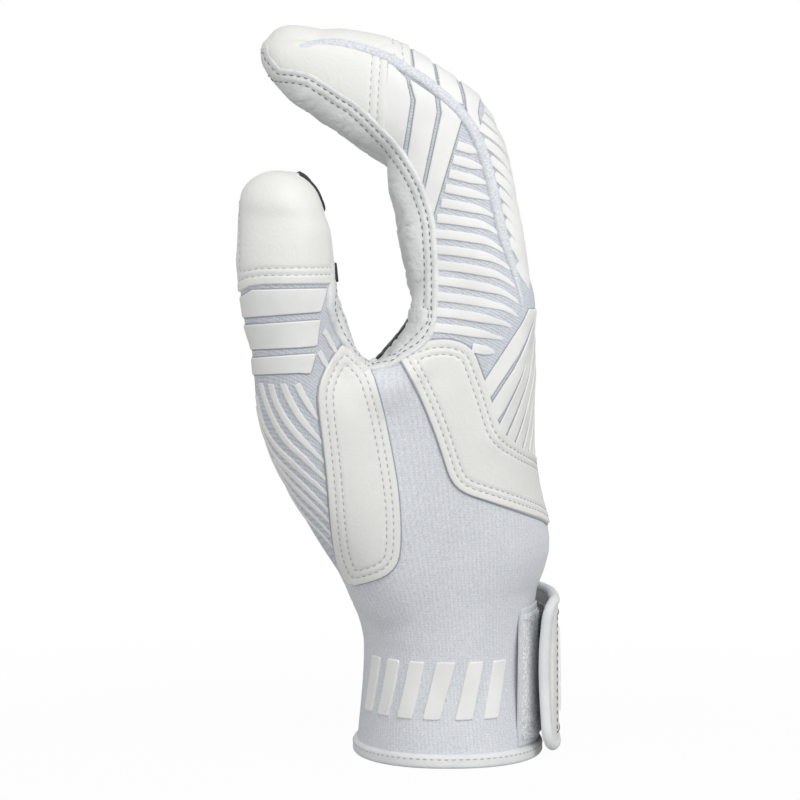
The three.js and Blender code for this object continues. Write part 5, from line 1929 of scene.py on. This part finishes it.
hook_grey = pile_finish("hook_pile", colour(0.42, 0.435, 0.45), colour(0.55, 0.565, 0.58))
hook_turns = np.radians(np.linspace(-24, 22, 44))
hook_rings = sheet(hook_turns, rim_low, rim_high, -0.9, 0.1, 0.4, strap_lean, strap_lift)
sew_on(solid("hook_pad", hook_rings, hook_grey), "strap", "hook_pile", "hook_pad")
hooks = plant_tree("moulded_hook", math.radians(150))
hook_inset, hook_pitch = 4.2, 1.15
points, up, along = scattered(hook_turns, strap_low + hook_inset, strap_high - hook_inset, -0.9, strap_lean,
                              hook_pitch, 0.0, strap_lift, -1)
sew_on(planted("hook_pile", hooks, points, up, along, hook_grey, Height=0.0005, Thickness=0.00011), "strap",
       "hook_pile")


# Black grip: thin textured rubber on the gripping side of the thumb's tip, and a black patch on the palm in the
# fork whose black is partly grip rubber and partly painted shade in the fold there. The edge of each is just in
# sight on the contour.

def grip_and_shade_dye(place):
    cell = place.cells(900.0)
    tone = cell.between(0.0, 0.6).mix(colour(0.012, 0.012, 0.013), colour(0.03, 0.03, 0.032))
    return dyed_with(tone, cell * 0.2 + 0.5, cell.bump(0.6, 0.0003))


black_grip = finish_of("black_grip", grip_and_shade_dye, Specular_IOR_Level=0.35)
grip_low = 17.0
grip_out, grip_roll, grip_sink, grip_depth = 0.7, 0.4, 0.1, 0.2
patch_out, patch_roll = 0.5, 0.5
grip_tab = outline((329, 258), (352, 258), (352, 284), (329, 284))
at_tip = smooth(thumb["up"], 143.5, 146.5) * smooth(thumb["across"], -43, -40)
in_tab = smooth(within(thumb.spots, grip_tab), 0.0, 1.0)
away = (thumb["ny"] - 0.55) * 9 + 5.0 * at_tip + 9.0 * in_tab
grip_part = np.minimum.reduce([thumb["leather"] - 0.5, thumb["thumb_way"] - grip_low, away])
grip = thumb.cut(grip_part, thumb["leather"])
grip, field = grip.with_rows(grip.edge, edge_steps)
lift = rolled_edge(field, grip_out, grip_roll) + leather_lap["lift"] + wrinkled(grip, grip["leather"]) - grip_sink
sew_on(shell("thumb_grip", grip, lift, grip_depth, black_grip), "thumb_high", "black_grip", "thumb_grip")

# The fork patch: black that paints the deep shade in the fold of the fork, cut as a patch of grip rubber.
patch_middle, patch_half = np.array((-15.0, -23.0, 110.5)), np.array((9.0, 7.0, 6.0))
edge_field = 6 - 6 * (np.abs((skin_points - patch_middle) / patch_half) ** 4).sum(1) ** 0.25
edge_field = np.minimum(edge_field, skin["leather"] - 3)
patch = skin.cut(edge_field, hand_zone)
lift = rolled_edge(patch.edge, patch_out, patch_roll) + leather_lap["lift"]
lift = lift + wrinkled(patch, patch["leather"]) - grip_sink
sew_on(shell("fork_grip_painted_shade", patch, lift, 0.0, black_grip), "hand", "black_grip")


# Cuff trim: one row of pale thread through the folded hem, and a plain row of slanted bars of white rubber,
# pressed onto the knit round the thumb side of the cuff.

hem_row_drop, thread_out = 1.1, 0.02
row_heights = np.full_like(hem_turns, hem_height - hem_row_drop)
hem_row = np.column_stack([hand_skin(hem_turns, row_heights, hem_out + thread_out), np.cos(hem_turns),
                           np.sin(hem_turns), 0 * hem_turns])
sew_rows("hem_stitches", [course(hem_row)], pale_thread, "hand", "binding")

cuff_turns = np.arange(-150, -59, 18)
cuff_middle, cuff_half = 20.0, 7.6
cuff_width, cuff_slant = 5.4, 0.55
cuff_lap = {"lift": 0.5, "roll": 0.3, "depth": 0.2}
degree_run = 0.45
wrist_degrees = hand_turn(wrist.points)[0]
slanted = cuff_slant * (wrist["z"] - cuff_middle)
aside = [(wrist_degrees - turn + 180) % 360 - 180 - slanted for turn in cuff_turns]
field = (cuff_width - np.abs(np.array(aside)).min(axis=0)) * degree_run
field = np.minimum(field, cuff_half - np.abs(wrist["z"] - cuff_middle))
sew_on(lapped("cuff_bars", wrist.cut(field), rubber, **cuff_lap), "hand", "wrist_knit")
